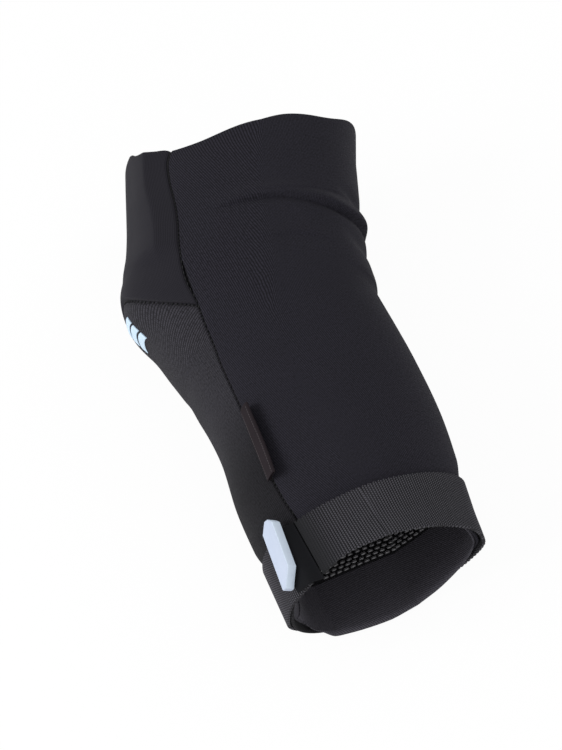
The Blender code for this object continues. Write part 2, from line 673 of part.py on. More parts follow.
# Strap round the forearm end, its free end and the fastening under it.
strap_angles = columns(STRAP_HINGE_ANGLE + SEAM_GAP_ANGLE - FULL_TURN, STRAP_START_ANGLE)
make_patch(
    "strap_band", webbing, strap_angles,
    even_rows(strap_angles, 0.0, STRAP_WIDTH, 3), STRAP_SEAT, STRAP_THICKNESS,
)
loop_angles = columns(HOOK_START_ANGLE - LOOP_MARGIN_ANGLE, HOOK_END_ANGLE + LOOP_MARGIN_ANGLE)
make_patch(
    "loop_patch", hook_loop, loop_angles,
    even_rows(loop_angles, HOOK_INSET, STRAP_WIDTH - HOOK_INSET, 2),
    LOOP_LEVEL + HOOK_THICKNESS, HOOK_THICKNESS,
)
hook_angles = columns(HOOK_START_ANGLE, HOOK_END_ANGLE)
hook_patch = make_patch(
    "hook_patch", hook_loop, hook_angles,
    even_rows(hook_angles, HOOK_INSET, STRAP_WIDTH - HOOK_INSET, 2),
    HOOK_LEVEL + HOOK_THICKNESS, HOOK_THICKNESS,
)
end_angles = columns(STRAP_END_TIP_ANGLE, STRAP_HINGE_ANGLE - SEAM_GAP_ANGLE, COLUMN_ANGLE / 2)
strap_end = make_patch(
    "strap_end", smooth_strap, end_angles,
    even_rows(end_angles, 0.0, STRAP_WIDTH, 3), strap_end_level, STRAP_END_THICKNESS,
)
pull_tab = make_tab(tab_plastic)

side_label, label_root = make_label(label_tape)
patch_angles = columns(-PATCH_HALF_ANGLE, PATCH_HALF_ANGLE)
patch_high = pad_top(patch_angles) - PAD_SEAM_WIDTH - EDGE_GAP
make_patch(
    "elbow_patch", patch_rubber, patch_angles,
    np.vstack([pad_high(patch_angles), patch_high]), FIT_GAP + PATCH_THICKNESS, PATCH_THICKNESS,
)

for item in PARTS.objects:
    shade(item)

# Joints: elbow axis, line on which the strap end folds, root of the label.
elbow_joint = make_empty("elbow_joint", (ELBOW[0], ELBOW[1], SLEEVE_DEPTH / 2))
hinge_level = FIT_GAP + STRAP_END_THICKNESS
strap_joint = make_empty("strap_joint", layer_point(STRAP_WIDTH / 2, STRAP_HINGE_ANGLE, hinge_level))
label_joint = make_empty("label_joint", label_root)
bpy.context.view_layer.update()
hang_on(elbow_joint, back_upper, front_upper, ridges[1], ridges[3], top_band)
hang_on(strap_joint, strap_end, hook_patch, pull_tab)
hang_on(label_joint, side_label)
bpy.context.view_layer.update()

# Stand the sleeve with the middle of its outline over the origin.
graph = bpy.context.evaluated_depsgraph_get()
corners = []
for item in PARTS.objects:
    if item.type == "MESH":
        shown = item.evaluated_get(graph)
        corners += [shown.matrix_world @ vertex.co for vertex in shown.data.vertices]
middle_x = (min(corner.x for corner in corners) + max(corner.x for corner in corners)) / 2
middle_y = (min(corner.y for corner in corners) + max(corner.y for corner in corners)) / 2
frame = make_empty("elbow_pad_frame", (-middle_x, -middle_y, 0.0))
for item in list(PARTS.objects):
    if item.parent is None and item is not frame:
        item.parent = frame
bpy.context.view_layer.update()
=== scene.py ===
import json
import math

import bmesh
import bpy
import numpy as np
from mathutils import Matrix, Vector


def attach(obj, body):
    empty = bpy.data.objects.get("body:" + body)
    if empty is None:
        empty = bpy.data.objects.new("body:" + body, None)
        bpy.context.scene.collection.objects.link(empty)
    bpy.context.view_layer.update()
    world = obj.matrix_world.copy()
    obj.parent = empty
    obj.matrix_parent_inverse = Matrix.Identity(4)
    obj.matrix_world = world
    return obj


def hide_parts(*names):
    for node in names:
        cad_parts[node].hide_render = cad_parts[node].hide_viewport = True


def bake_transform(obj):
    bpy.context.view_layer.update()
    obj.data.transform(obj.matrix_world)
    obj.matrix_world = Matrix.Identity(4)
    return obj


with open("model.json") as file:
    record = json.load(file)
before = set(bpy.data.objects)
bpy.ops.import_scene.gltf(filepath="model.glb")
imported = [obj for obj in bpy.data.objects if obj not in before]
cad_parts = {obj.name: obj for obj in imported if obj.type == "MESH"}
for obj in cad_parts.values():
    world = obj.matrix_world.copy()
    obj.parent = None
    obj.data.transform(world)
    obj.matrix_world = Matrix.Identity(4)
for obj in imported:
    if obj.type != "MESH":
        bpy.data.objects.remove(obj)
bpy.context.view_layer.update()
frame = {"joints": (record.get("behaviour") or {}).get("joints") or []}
joints = {joint["name"]: joint for joint in frame["joints"]}
mm = 0.001
fullTurn = 360.0
halfTurn = 180.0

# The sleeve that every layer follows: a bent arm line with an oval section, lying on its far side.
# Profiles pair a place along the arm (0 forearm rim, 1 top edge) with a share of half the width or depth.
sleeve = {
    "forearmLength": 143 * mm, "upperArmLength": 90 * mm,
    "bend": math.radians(25),
    "bendRadius": 70 * mm, "width": 104 * mm, "depth": 86 * mm, "sectionPower": 2.3,
    "restFlat": 4.5 * mm,  # how far the soft section is pressed flat on the floor
    "padSide": (
        (0.0, 0.94), (0.13, 0.92), (0.26, 0.90), (0.39, 0.824), (0.44, 0.825), (0.49, 0.843),
        (0.535, 0.860), (0.58, 0.937), (0.61, 1.019), (0.64, 1.17), (0.70, 1.229), (0.76, 1.212),
        (0.81, 1.213), (0.86, 1.225), (0.93, 1.245), (1.0, 1.262),
    ),
    "crookSide": (
        (0.0, 0.93), (0.13, 1.03), (0.26, 1.12), (0.39, 1.14), (0.55, 1.11), (0.70, 1.08),
        (0.82, 0.985), (1.0, 0.915),
    ),
    "depthShare": ((0.0, 0.91), (0.31, 0.93), (0.61, 1.0), (1.0, 1.0)),
    "crookPower": (  # pointed where the strap folds
        (0.0, 1.55), (0.13, 1.6), (0.30, 2.1), (0.45, 2.3), (1.0, 2.3),
    ),
    "seamLine": (  # true angle of the side seams from the middle of the pad, in degrees
        (0.0, 54.0), (0.14, 51.0), (0.30, 48.0), (0.43, 47.0), (0.53, 51.0), (0.60, 57.5), (0.65, 60.3),
        (0.70, 59.0), (0.79, 56.0), (0.89, 51.8), (0.945, 51.0), (1.0, 53.0),
    ),
    "topWaves": (-14.7 * mm, 3.8 * mm, 1.4 * mm, 2.1 * mm, -1.9 * mm, -1.3 * mm),
    "waveShare": 0.25,  # share of the arm, below the top edge, that the waves reach
    "topTrim": (  # net angle, change of the top edge's station
        (-50, -0.0008), (-25, 0.0008), (-8, 0.0028), (4, 0.0038), (12, 0.0043), (17, 0.0042), (22, 0.0022),
        (27, -0.0010), (33, -0.0034), (38, -0.0036), (43, -0.0022), (47, -0.0006), (50, -0.0012),
        (55, -0.0005), (70, -0.0004), (80, -0.0006), (90, -0.0010), (105, -0.001), (120, -0.0003),
        (140, -0.0003), (160, -0.0009), (180, -0.001), (310, -0.0008),
    ),
    "rimInset": 0.7 * mm,
    "rimRecess": 4.6 * mm,  # how far the strap stands past the cloth on the upper side
    "rimRise": 0.6,  # height in the section at which that recess is full
    "seam": 50.0,  # net angle of the side seams
    "cloth": 1.6 * mm, "gap": 0.3 * mm,
    "blendBefore": 50 * mm,  # stretch each side of the elbow over which the cloth turns
    "blendAfter": 60 * mm,
}

seam = sleeve["seam"]
cloth = sleeve["cloth"]
gap = sleeve["gap"]
bendTangent = sleeve["bendRadius"] * math.tan(sleeve["bend"] / 2)
bendStart = sleeve["forearmLength"] - bendTangent
bendEnd = bendStart + sleeve["bendRadius"] * sleeve["bend"]
armLength = bendEnd + sleeve["upperArmLength"] - bendTangent
innerLayer = -cloth - gap
elbow = np.array(joints["elbow_flex"]["pos_m"][:2])

strap = {
    "width": 29 * mm, "thickness": 1.6 * mm,
    "ease": 12 * mm,  # length over which the cloth recovers from the strap's pull
    "start": 40.0, "hinge": 48.0,
    "hingeGap": 0.45,  # net angle left free each side of the hinge
    "bendLength": 7 * mm,  # length of the strap end that bends when it is peeled
    "tip": 31.5, "rise": 8.0, "hookFirst": 32.5, "hookLast": 39.0, "endThickness": 1.2 * mm,
    "patchThickness": 0.8 * mm, "patchInset": 2.5 * mm,
    "patchSpread": 0.5,  # net angle by which the loop patch is wider than the hook patch
    "ribPitch": 1.25 * mm, "ribHeight": 0.5 * mm,
    "ribPhases": (0.0, 0.16, 0.5, 0.84),
    "ribRound": 0.6,
    "runOut": 14 * mm,  # length over which the ribs run out at the sewn end
    "edgeLoop": 1.1 * mm,
    "lowLoops": 0.4,  # share of the edge loops that shows at the lower edge
    "lowInset": 0.4 * mm, "highInset": 0.5 * mm, "flare": 1.6 * mm,
    "flareFirst": (52.0, 20.0),  # net angle and fade where the lower edge starts and stops to flare
    "flareLast": (190.0, 40.0),
    "flareReach": 0.55,
    "lowEdge": (  # net angle, how far the lower edge is drawn in
        (0, 0.0005), (40, 0.0005), (50, 0.0015), (60, 0.0028), (80, 0.003), (100, 0.0026), (130, 0.0016),
        (160, 0.0002), (180, -0.0018), (205, -0.0012), (230, 0.0), (285, 0.0008), (308, 0.0025),
        (335, 0.0025), (350, 0.0010), (360, 0.0005),
    ),
}
strapSeatDepth = gap + strap["thickness"]

padPanel = {
    "top": 155.4 * mm, "arch": 15.6 * mm, "archPoint": 6.0,
    "low": strap["width"] * 2 / 3,
    "highShare": 8 / 9, "halfAngle": 40.0, "edgeThickness": 1.6 * mm, "crown": 6 * mm, "rimGap": 0.3 * mm,
    "topGap": 0.5 * mm,
    "valley": 1.5 * mm,  # depth of the groove along its top seam
    "valleyWidth": 0.7 * mm, "valleyPlace": 0.4 * mm,
    "overhang": 1.1 * mm,  # how far the upper panel's turned edge stands over the cover
    "overhangEdge": 0.5 * mm, "overhangFade": 9 * mm,
}

seamGroove = {"depth": 1.2 * mm, "width": 0.65, "reach": (20 * mm, 9 * mm)}
# Folds of the cloth in the crook, each a soft roll that drops to a crease: line of stations over net angles,
# where it starts and ends, height of the roll, depth of the crease.
mainCrease = (
    (60, 0.179), (72, 0.182), (85, 0.1869), (93, 0.1884), (117, 0.1884), (144, 0.1872), (156, 0.1880),
    (200, 0.189),
)
lowCrease = ((60, 0.161), (82, 0.164), (101, 0.168), (116, 0.168), (134, 0.166), (180, 0.162))
highCrease = (
    (60, 0.185), (72, 0.1874), (85, 0.1899), (105, 0.1928), (135, 0.196), (150, 0.1963), (200, 0.199),
)
folds = {
    "creases": (
        (mainCrease, 62.0, 190.0, 1.7 * mm, 1.5 * mm),
        (mainCrease, 104.0, 190.0, 1.0 * mm, 0.2 * mm),
        (lowCrease, 66.0, 130.0, 0.35 * mm, 0.4 * mm),
        (highCrease, 66.0, 235.0, 0.1 * mm, 0.4 * mm),
    ),
    "dents": (  # soft hollows that show at the edge of the crook: station, first and last angle, depth, width
        (0.1990, 132.0, 236.0, 2.2 * mm, 3.0 * mm), (0.1755, 128.0, 240.0, 1.7 * mm, 4.6 * mm),
        (0.160, 128.0, 240.0, -1.0 * mm, 5.0 * mm), (0.147, 128.0, 240.0, 0.8 * mm, 3.5 * mm),
    ),
    "fade": 26.0, "drop": 0.8 * mm, "roll": 4.6 * mm, "rollCentre": 0.4, "recover": 2.6 * mm,
}
panelRidge = {
    "line": ((0.150, 37.0), (0.163, 40.5), (0.179, 39.8), (0.203, 38.2), (0.22, 38.4), (0.235, 36.5)),
    "height": 4.6 * mm, "width": 22.0, "seamSideWidth": 15.0, "reach": (157 * mm, 7 * mm), "round": 0.04,
    "foot": 1.6,  # more makes the foot of the ridge softer
}


def smooth(value):
    value = np.clip(value, 0.0, 1.0)
    return value * value * (3.0 - 2.0 * value)


def ramp(value, start, length):
    return smooth((value - start) / length)


def bump(value):
    return np.exp(-np.square(value))


def followProfile(profile, place):
    stations, values = np.array(profile).T
    slopes = np.gradient(values, stations)
    cell = np.clip(np.searchsorted(stations, place) - 1, 0, len(stations) - 2)
    span = stations[cell + 1] - stations[cell]
    t = np.clip((place - stations[cell]) / span, 0.0, 1.0)
    start = (2 * t**3 - 3 * t**2 + 1) * values[cell] + (t**3 - 2 * t**2 + t) * span * slopes[cell]
    end = (3 * t**2 - 2 * t**3) * values[cell + 1] + (t**3 - t**2) * span * slopes[cell + 1]
    return start + end


def planLine(station):
    turn = np.clip((station - bendStart) / sleeve["bendRadius"], 0.0, sleeve["bend"])
    beyond = np.maximum(station - bendEnd, 0.0)
    x = sleeve["bendRadius"] * (1 - np.cos(turn)) + beyond * math.sin(sleeve["bend"])
    y = np.minimum(station, bendStart) + sleeve["bendRadius"] * np.sin(turn)
    return x, y + beyond * math.cos(sleeve["bend"]), turn


elbowLine = planLine((bendStart + bendEnd) / 2)
planShift = elbow - np.array([float(elbowLine[0]), float(elbowLine[1])])


def sectionAngle(station, angle):
    angle = np.mod(angle + seam, fullTurn) - seam
    seamAngle = followProfile(sleeve["seamLine"], station / armLength)
    front = angle * seamAngle / seam
    back = halfTurn + (angle - halfTurn) * (halfTurn - seamAngle) / (halfTurn - seam)
    return np.radians(np.where(angle <= seam, front, back))


def signedPower(value, power):
    return np.sign(value) * np.abs(value) ** power


def sleevePoint(station, angle):
    # outer face of the plain sleeve, before folds and grooves
    turn = sectionAngle(station, angle)
    waves = 1 / sleeve["waveShare"]
    nearTop = np.clip(waves * station / armLength - (waves - 1), 0.0, 1.0) ** 2
    for count, wave in enumerate(sleeve["topWaves"], start=1):
        station = station + nearTop * wave * np.cos(count * turn)
    place = station / armLength
    seat = strapSeatDepth * (1.0 - ramp(station, strap["width"], strap["ease"]))
    padReach = followProfile(sleeve["padSide"], place) * sleeve["width"] / 2 - seat
    crookReach = followProfile(sleeve["crookSide"], place) * sleeve["width"] / 2 - seat
    halfDepth = followProfile(sleeve["depthShare"], place) * sleeve["depth"] / 2
    onPadSide = np.cos(turn) > 0
    power = 2 / np.where(onPadSide, sleeve["sectionPower"], followProfile(sleeve["crookPower"], place))
    across = signedPower(np.cos(turn), power) * np.where(onPadSide, padReach, crookReach)
    x, y, heading = planLine(station)
    height = halfDepth - sleeve["restFlat"] + signedPower(np.sin(turn), power) * (halfDepth - seat)
    x = x + planShift[0] - np.cos(heading) * across
    y = y + planShift[1] + np.sin(heading) * across
    return np.stack([x, y, np.maximum(height, seat)], axis=-1)


def sleeveFrame(station, angle):
    # point on the plain sleeve, with the directions along the arm, round the arm and outwards
    station, angle = np.broadcast_arrays(np.asarray(station, float), np.asarray(angle, float))
    step = 0.3 * mm
    swing = 0.3
    along = sleevePoint(station + step, angle) - sleevePoint(station - step, angle)
    around = sleevePoint(station, angle + swing) - sleevePoint(station, angle - swing)
    along = along / np.linalg.norm(along, axis=-1, keepdims=True)
    outward = np.cross(around, along)
    outward = outward / np.linalg.norm(outward, axis=-1, keepdims=True)
    return sleevePoint(station, angle), along, np.cross(along, outward), outward


def padTop(angle):
    fall = np.hypot(1.0, padPanel["archPoint"] * np.asarray(angle) / seam) - 1.0
    return padPanel["top"] - padPanel["arch"] * fall / (math.hypot(1.0, padPanel["archPoint"]) - 1.0)


def rimEdge(angle):
    upward = np.sin(sectionAngle(0.0, np.asarray(angle)))
    return sleeve["rimInset"] + sleeve["rimRecess"] * smooth(upward / sleeve["rimRise"])


def topEdge(angle):
    return armLength + followProfile(sleeve["topTrim"], np.asarray(angle, float))


def relief(station, angle):
    # folds in the crook, grooves at the seams and the soft ridge of the front upper panel
    margin = seam + 10
    angle = np.mod(angle + margin, fullTurn) - margin
    lift = np.zeros(np.broadcast(station, angle).shape)

    def between(first, last):
        return ramp(angle, first, folds["fade"]) * smooth((last - angle) / folds["fade"])

    for line, first, last, roll, depth in folds["creases"]:
        above = station - followProfile(line, angle)
        rolled = smooth(above / folds["drop"] + 0.5)
        rolled = rolled * bump((above - folds["rollCentre"] * folds["roll"]) / folds["roll"])
        creased = np.where(above < 0, bump(above / folds["recover"]), bump(above / folds["drop"]))
        lift = lift + between(first, last) * (roll * rolled - depth * creased)
    for place, first, last, depth, width in folds["dents"]:
        lift = lift - between(first, last) * depth * bump((station - place) / width)
    seamSide = np.minimum(np.abs(angle - seam), np.abs(np.mod(angle, fullTurn) - fullTurn + seam))
    groove = seamGroove["depth"] * bump(seamSide / seamGroove["width"])
    lift = lift - groove * ramp(station, *seamGroove["reach"])
    inFront = (np.abs(angle) < seam).astype(float)
    offSeam = station - padTop(angle)
    valley = bump((offSeam + padPanel["valleyPlace"]) / padPanel["valleyWidth"])
    lift = lift - inFront * padPanel["valley"] * valley
    turnedEdge = smooth(offSeam / padPanel["overhangEdge"])
    turnedEdge = turnedEdge * (1.0 - smooth(offSeam / padPanel["overhangFade"]))
    lift = lift + inFront * padPanel["overhang"] * turnedEdge
    off = angle - followProfile(panelRidge["line"], station)
    off = off / np.where(off < 0, panelRidge["width"], panelRidge["seamSideWidth"])
    ridge = np.clip(1.0 - np.hypot(off, panelRidge["round"]), 0.0, 1.0) ** panelRidge["foot"]
    ridge = ridge * ramp(station, *panelRidge["reach"]) * inFront
    return lift + panelRidge["height"] * ridge


def clothPoint(station, angle, level=0.0, relieved=True):
    point, along, around, outward = sleeveFrame(station, angle)
    lift = np.broadcast_to(np.asarray(level, float), point.shape[:-1])
    if relieved:
        lift = lift + relief(station, angle)
    point = point + outward * lift[..., None]
    point[..., 2] = np.maximum(point[..., 2], 0.0)
    return point


def graded(first, last, step, edges):
    # positions from first to last, closer together near both ends
    low = first + np.cumsum((0,) + edges)
    high = last - np.cumsum((0,) + edges)
    count = max(2, round((high[-1] - low[-1]) / step))
    return np.concatenate([low[:-1], np.linspace(low[-1], high[-1], count + 1), high[:-1][::-1]])


def lineLength(line):
    return np.concatenate([[0], np.cumsum(np.linalg.norm(np.diff(line, axis=0), axis=1))])


def evenAngles(first, last, pitch, station, level=0.0):
    # net angles at even steps of length round the arm
    samples = 2000
    fine = np.linspace(first, last, samples)
    length = lineLength(clothPoint(np.full(fine.shape, station), fine, level, False))
    count = max(1, round(length[-1] / pitch))
    return np.interp(np.linspace(0, length[-1], count + 1), length, fine)


def newPiece(name, points, faces, uv=None, sharpAngle=40.0):
    mesh = bpy.data.meshes.new(name)
    mesh.from_pydata(np.asarray(points).tolist(), [], [list(face) for face in faces])
    if uv is not None:
        layer = mesh.uv_layers.new(name="UVMap")
        owner = np.zeros(len(mesh.loops), np.int32)
        mesh.loops.foreach_get("vertex_index", owner)
        layer.data.foreach_set("uv", np.asarray(uv, np.float32)[owner].ravel())
    mesh.validate()
    mesh.shade_smooth()
    mesh.set_sharp_from_angle(angle=math.radians(sharpAngle))
    piece = bpy.data.objects.new(name, mesh)
    bpy.context.scene.collection.objects.link(piece)
    return piece


def clothShell(name, angles, shares, low, high, level, thickness, relieved=True, capRows=4, bulge=1.0,
               uCoord=None):
    # closed piece of cloth on the sleeve's net with rounded upper and lower edges; shares may be a count
    if isinstance(shares, int):
        shares = np.linspace(0, 1, shares)
    angles = np.asarray(angles, float)
    low = np.broadcast_to(np.asarray(low, float), angles.shape)
    high = np.broadcast_to(np.asarray(high, float), angles.shape)
    station = low + shares[:, None] * (high - low)
    turn = np.broadcast_to(angles, station.shape)
    top = level(station, turn) if callable(level) else np.full(station.shape, float(level))
    thick = thickness(station, turn) if callable(thickness) else np.full(station.shape, float(thickness))
    capTurns = np.linspace(0, math.pi, capRows + 2)[1:-1]

    def capAt(row, edge, sign):
        half = thick[row] / 2
        places = [edge + sign * bulge * half * math.sin(t) for t in capTurns]
        levels = [top[row] - half + half * math.cos(t) for t in capTurns]
        return places, levels

    upPlaces, upLevels = capAt(-1, high, 1.0)
    downPlaces, downLevels = capAt(0, low, -1.0)
    stations = np.vstack([station, upPlaces, station[::-1], downPlaces[::-1]])
    levels = np.vstack([top, upLevels, (top - thick)[::-1], downLevels[::-1]])
    points = clothPoint(stations, np.broadcast_to(angles, stations.shape), levels, relieved)
    rowCount, colCount = stations.shape
    index = np.arange(rowCount * colCount).reshape(rowCount, colCount)
    after = np.roll(index, -1, axis=0)
    faces = np.stack([index[:, :-1], index[:, 1:], after[:, 1:], after[:, :-1]], axis=-1)
    faces = faces.reshape(-1, 4).tolist()
    partner = 2 * len(shares) + capRows - 1
    for row in range(-(capRows // 2), len(shares) + capRows // 2 - 1):
        ends = [place % rowCount for place in (row, row + 1, partner - row - 1, partner - row)]
        faces.append([index[end, 0] for end in ends])
        faces.append([index[end, -1] for end in reversed(ends)])
    if uCoord is None:
        uCoord = lineLength(clothPoint(np.full(angles.shape, (low + high).mean() / 2), angles, 0.0, False))
    uv = np.stack([np.broadcast_to(uCoord, stations.shape), stations], axis=-1).reshape(-1, 2)
    return newPiece(name, points.reshape(-1, 3), faces, uv)


def elbowBlend(piece):
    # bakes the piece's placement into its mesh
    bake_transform(piece)


def dress(piece, material, slot, *nodes):
    piece.data.materials.clear()
    piece.data.materials.append(material)
    if nodes:
        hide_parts(*nodes)
    return piece


def ringFaces(first, rings, sides, capped=True):
    # faces between rings of points that follow each other in the list, with a face over each end
    faces = []
    for ring in range(rings - 1):
        for k in range(sides):
            a = first + ring * sides + k
            b = first + ring * sides + (k + 1) % sides
            faces.append([a, b, b + sides, a + sides])
    if capped:
        faces.append([first + k for k in reversed(range(sides))])
        faces.append([first + (rings - 1) * sides + k for k in range(sides)])
    return faces


def fixNormals(piece):
    mesh = bmesh.new()
    mesh.from_mesh(piece.data)
    bmesh.ops.recalc_face_normals(mesh, faces=mesh.faces)
    mesh.to_mesh(piece.data)
    mesh.free()
    return piece


def threadTubes(name, strokes, radius, sides=6):
    # one mesh of short round threads, each along its own few points
    endShare = 0.55
    steep = 0.8
    points = []
    faces = []
    for stroke in strokes:
        line = np.asarray(stroke, float)
        ahead = np.gradient(line, axis=0)
        ahead = ahead / np.linalg.norm(ahead, axis=1, keepdims=True)
        helper = np.array([0.0, 0.0, 1.0]) if abs(ahead[0][2]) < steep else np.array([1.0, 0.0, 0.0])
        side = np.cross(ahead, helper)
        side = side / np.linalg.norm(side, axis=1, keepdims=True)
        rise = np.cross(side, ahead)
        faces += ringFaces(len(points), len(line), sides)
        for row in range(len(line)):
            slim = endShare if row in (0, len(line) - 1) else 1.0
            for turn in np.linspace(0, 2 * math.pi, sides, endpoint=False):
                offset = side[row] * math.cos(turn) + rise[row] * math.sin(turn)
                points.append(line[row] + offset * radius * slim)
    return fixNormals(newPiece(name, points, faces, np.array(points)[:, :2]))


# Shader helpers: put adds a node with its sockets, calc adds a math node and returns its value.
def put(tree, kind, inputs=None, **settings):
    made = tree.nodes.new(kind)
    for key, value in settings.items():
        setattr(made, key, value)
    for socket, value in (inputs or {}).items():
        if isinstance(value, bpy.types.NodeSocket):
            tree.links.new(value, made.inputs[socket])
        else:
            made.inputs[socket].default_value = value
    return made


def calc(tree, operation, first, second=0.0, third=0.0):
    return put(tree, "ShaderNodeMath", {0: first, 1: second, 2: third}, operation=operation).outputs[0]


def newGroup(name, inputs, outputs):
    group = bpy.data.node_groups.new(name, "ShaderNodeTree")
    kinds = {"vector": "NodeSocketVector", "value": "NodeSocketFloat", "colour": "NodeSocketColor"}
    for label, kind, start in inputs:
        socket = group.interface.new_socket(label, in_out="INPUT", socket_type=kinds[kind])
        if start is not None:
            socket.default_value = start
    for label, kind in outputs:
        group.interface.new_socket(label, in_out="OUTPUT", socket_type=kinds[kind])
    entry = group.nodes.new("NodeGroupInput")
    leave = group.nodes.new("NodeGroupOutput")
    return group, entry.outputs, leave.inputs


def stepUp(tree, value, low, high):
    made = put(tree, "ShaderNodeMapRange", {"Value": value, "From Min": low, "From Max": high},
               interpolation_type="SMOOTHSTEP")
    return made.outputs["Result"]


def wave(tree, value):
    # rises from 0 to 1 and falls back over each whole step of the value
    return calc(tree, "MULTIPLY", calc(tree, "PINGPONG", value, 0.5), 2.0)


def noise(tree, place, scale, detail):
    return put(tree, "ShaderNodeTexNoise", {"Vector": place, "Scale": scale, "Detail": detail}).outputs["Fac"]


def axes(tree, vector):
    return put(tree, "ShaderNodeSeparateXYZ", {0: vector}).outputs


def scaleColour(tree, colour, factor):
    return put(tree, "ShaderNodeVectorMath", {0: colour, "Scale": factor}, operation="SCALE").outputs[0]


def makeKnitGroup():
    # ribs of stacked loops, turned from the length of the arm: height of the yarn and its mask over the gaps
    driftSize, driftShare, loopShare, unevenGain, fibreScale = 0.9, 0.15, 0.45, 4.0, 3500.0
    group, entry, leave = newGroup(
        "knitLoops",
        (("Vector", "vector", None), ("Wale", "value", 0.001), ("Course", "value", 0.001),
         ("Turn", "value", 0.0), ("Slant", "value", 0.5), ("Fuzz", "value", 0.2), ("Uneven", "value", 0.5)),
        (("Height", "value"), ("Yarn", "value")),
    )
    drift = noise(group, entry["Vector"], calc(group, "DIVIDE", driftSize, entry["Wale"]), 2.0)
    drift = calc(group, "SUBTRACT", drift, 0.5)
    parts = axes(group, entry["Vector"])
    cosine = calc(group, "COSINE", entry["Turn"])
    sine = calc(group, "SINE", entry["Turn"])
    across = calc(group, "MULTIPLY_ADD", parts["X"], cosine, calc(group, "MULTIPLY", parts["Y"], sine))
    lengthwise = calc(group, "SUBTRACT", calc(group, "MULTIPLY", parts["Y"], cosine),
                      calc(group, "MULTIPLY", parts["X"], sine))
    u = calc(group, "MULTIPLY_ADD", drift, driftShare, calc(group, "DIVIDE", across, entry["Wale"]))
    v = calc(group, "MULTIPLY_ADD", drift, driftShare, calc(group, "DIVIDE", lengthwise, entry["Course"]))
    rib = wave(group, u)
    loop = wave(group, calc(group, "MULTIPLY_ADD", rib, entry["Slant"], v))
    loop = stepUp(group, loop, 0.1, 0.85)
    rib = stepUp(group, rib, 0.05, 0.75)
    yarn = calc(group, "MULTIPLY", rib, calc(group, "MULTIPLY_ADD", loop, loopShare, 1.0 - loopShare))
    swing = calc(group, "MULTIPLY_ADD", drift, calc(group, "MULTIPLY", entry["Uneven"], unevenGain), 1.0)
    yarn = calc(group, "MULTIPLY", yarn, swing)
    fuzz = calc(group, "MULTIPLY", noise(group, entry["Vector"], fibreScale, 3.0), entry["Fuzz"])
    group.links.new(calc(group, "ADD", yarn, fuzz), leave["Height"])
    group.links.new(yarn, leave["Yarn"])
    return group


def makeMottleGroup():
    # slow and fine unevenness of a dyed or moulded colour
    group, entry, leave = newGroup(
        "unevenColour",
        (("Colour", "colour", None), ("Vector", "vector", None), ("Scale", "value", 30.0),
         ("Amount", "value", 0.15)),
        (("Colour", "colour"),),
    )
    swing = calc(group, "SUBTRACT", noise(group, entry["Vector"], entry["Scale"], 4.0), 0.5)
    factor = calc(group, "MULTIPLY_ADD", swing, calc(group, "MULTIPLY", entry["Amount"], 2.0), 1.0)
    group.links.new(scaleColour(group, entry["Colour"], factor), leave["Colour"])
    return group


def makeThreadGroup():
    # fine threads across a rib or tape, counted along the second coordinate, half a step on from rib to rib
    group, entry, leave = newGroup(
        "fineThreads",
        (("Vector", "vector", None), ("Pitch", "value", 0.0006), ("Skew", "value", 0.0),
         ("Rib", "value", 1.0)),
        (("Height", "value"), ("Rib", "value")),
    )
    parts = axes(group, entry["Vector"])
    ribs = calc(group, "DIVIDE", parts["X"], entry["Rib"])
    place = calc(group, "MULTIPLY_ADD", parts["X"], entry["Skew"], parts["Y"])
    place = calc(group, "DIVIDE", place, entry["Pitch"])
    place = calc(group, "MULTIPLY_ADD", calc(group, "FLOOR", ribs), 0.5, place)
    group.links.new(stepUp(group, wave(group, place), 0.05, 0.8), leave["Height"])
    group.links.new(stepUp(group, wave(group, ribs), 0.1, 0.6), leave["Rib"])
    return group


knitGroup = makeKnitGroup()
mottleGroup = makeMottleGroup()
threadGroup = makeThreadGroup()


def newMaterial(name, look):
    material = bpy.data.materials.new(name)
    material.use_nodes = True
    tree = material.node_tree
    shader = tree.nodes["Principled BSDF"]
    sockets = {"Roughness": "roughness", "Specular IOR Level": "specular", "Sheen Weight": "sheen",
               "Sheen Roughness": "sheenRoughness"}
    for socket, key in sockets.items():
        shader.inputs[socket].default_value = look[key]
    return material, tree, shader


def uvPlace(tree):
    return put(tree, "ShaderNodeUVMap", uv_map="UVMap").outputs["UV"]


def useGroup(tree, group, inputs):
    return put(tree, "ShaderNodeGroup", inputs, node_tree=group).outputs


def mixColour(tree, share, *colours):
    first, second = [(*colour, 1.0) if isinstance(colour, tuple) else colour for colour in colours]
    return put(tree, "ShaderNodeMix", {"Factor": share, 6: first, 7: second}, data_type="RGBA").outputs[2]


def setColour(tree, shader, colour, place, look):
    dyed = useGroup(tree, mottleGroup, {
        "Colour": colour, "Vector": place, "Scale": look["mottleScale"], "Amount": look["mottle"],
    })["Colour"]
    tree.links.new(dyed, shader.inputs["Base Color"])


def setBump(tree, shader, height, look):
    made = put(tree, "ShaderNodeBump", {
        "Strength": look["bump"], "Distance": look["bumpDepth"], "Height": height,
    })
    tree.links.new(made.outputs["Normal"], shader.inputs["Normal"])
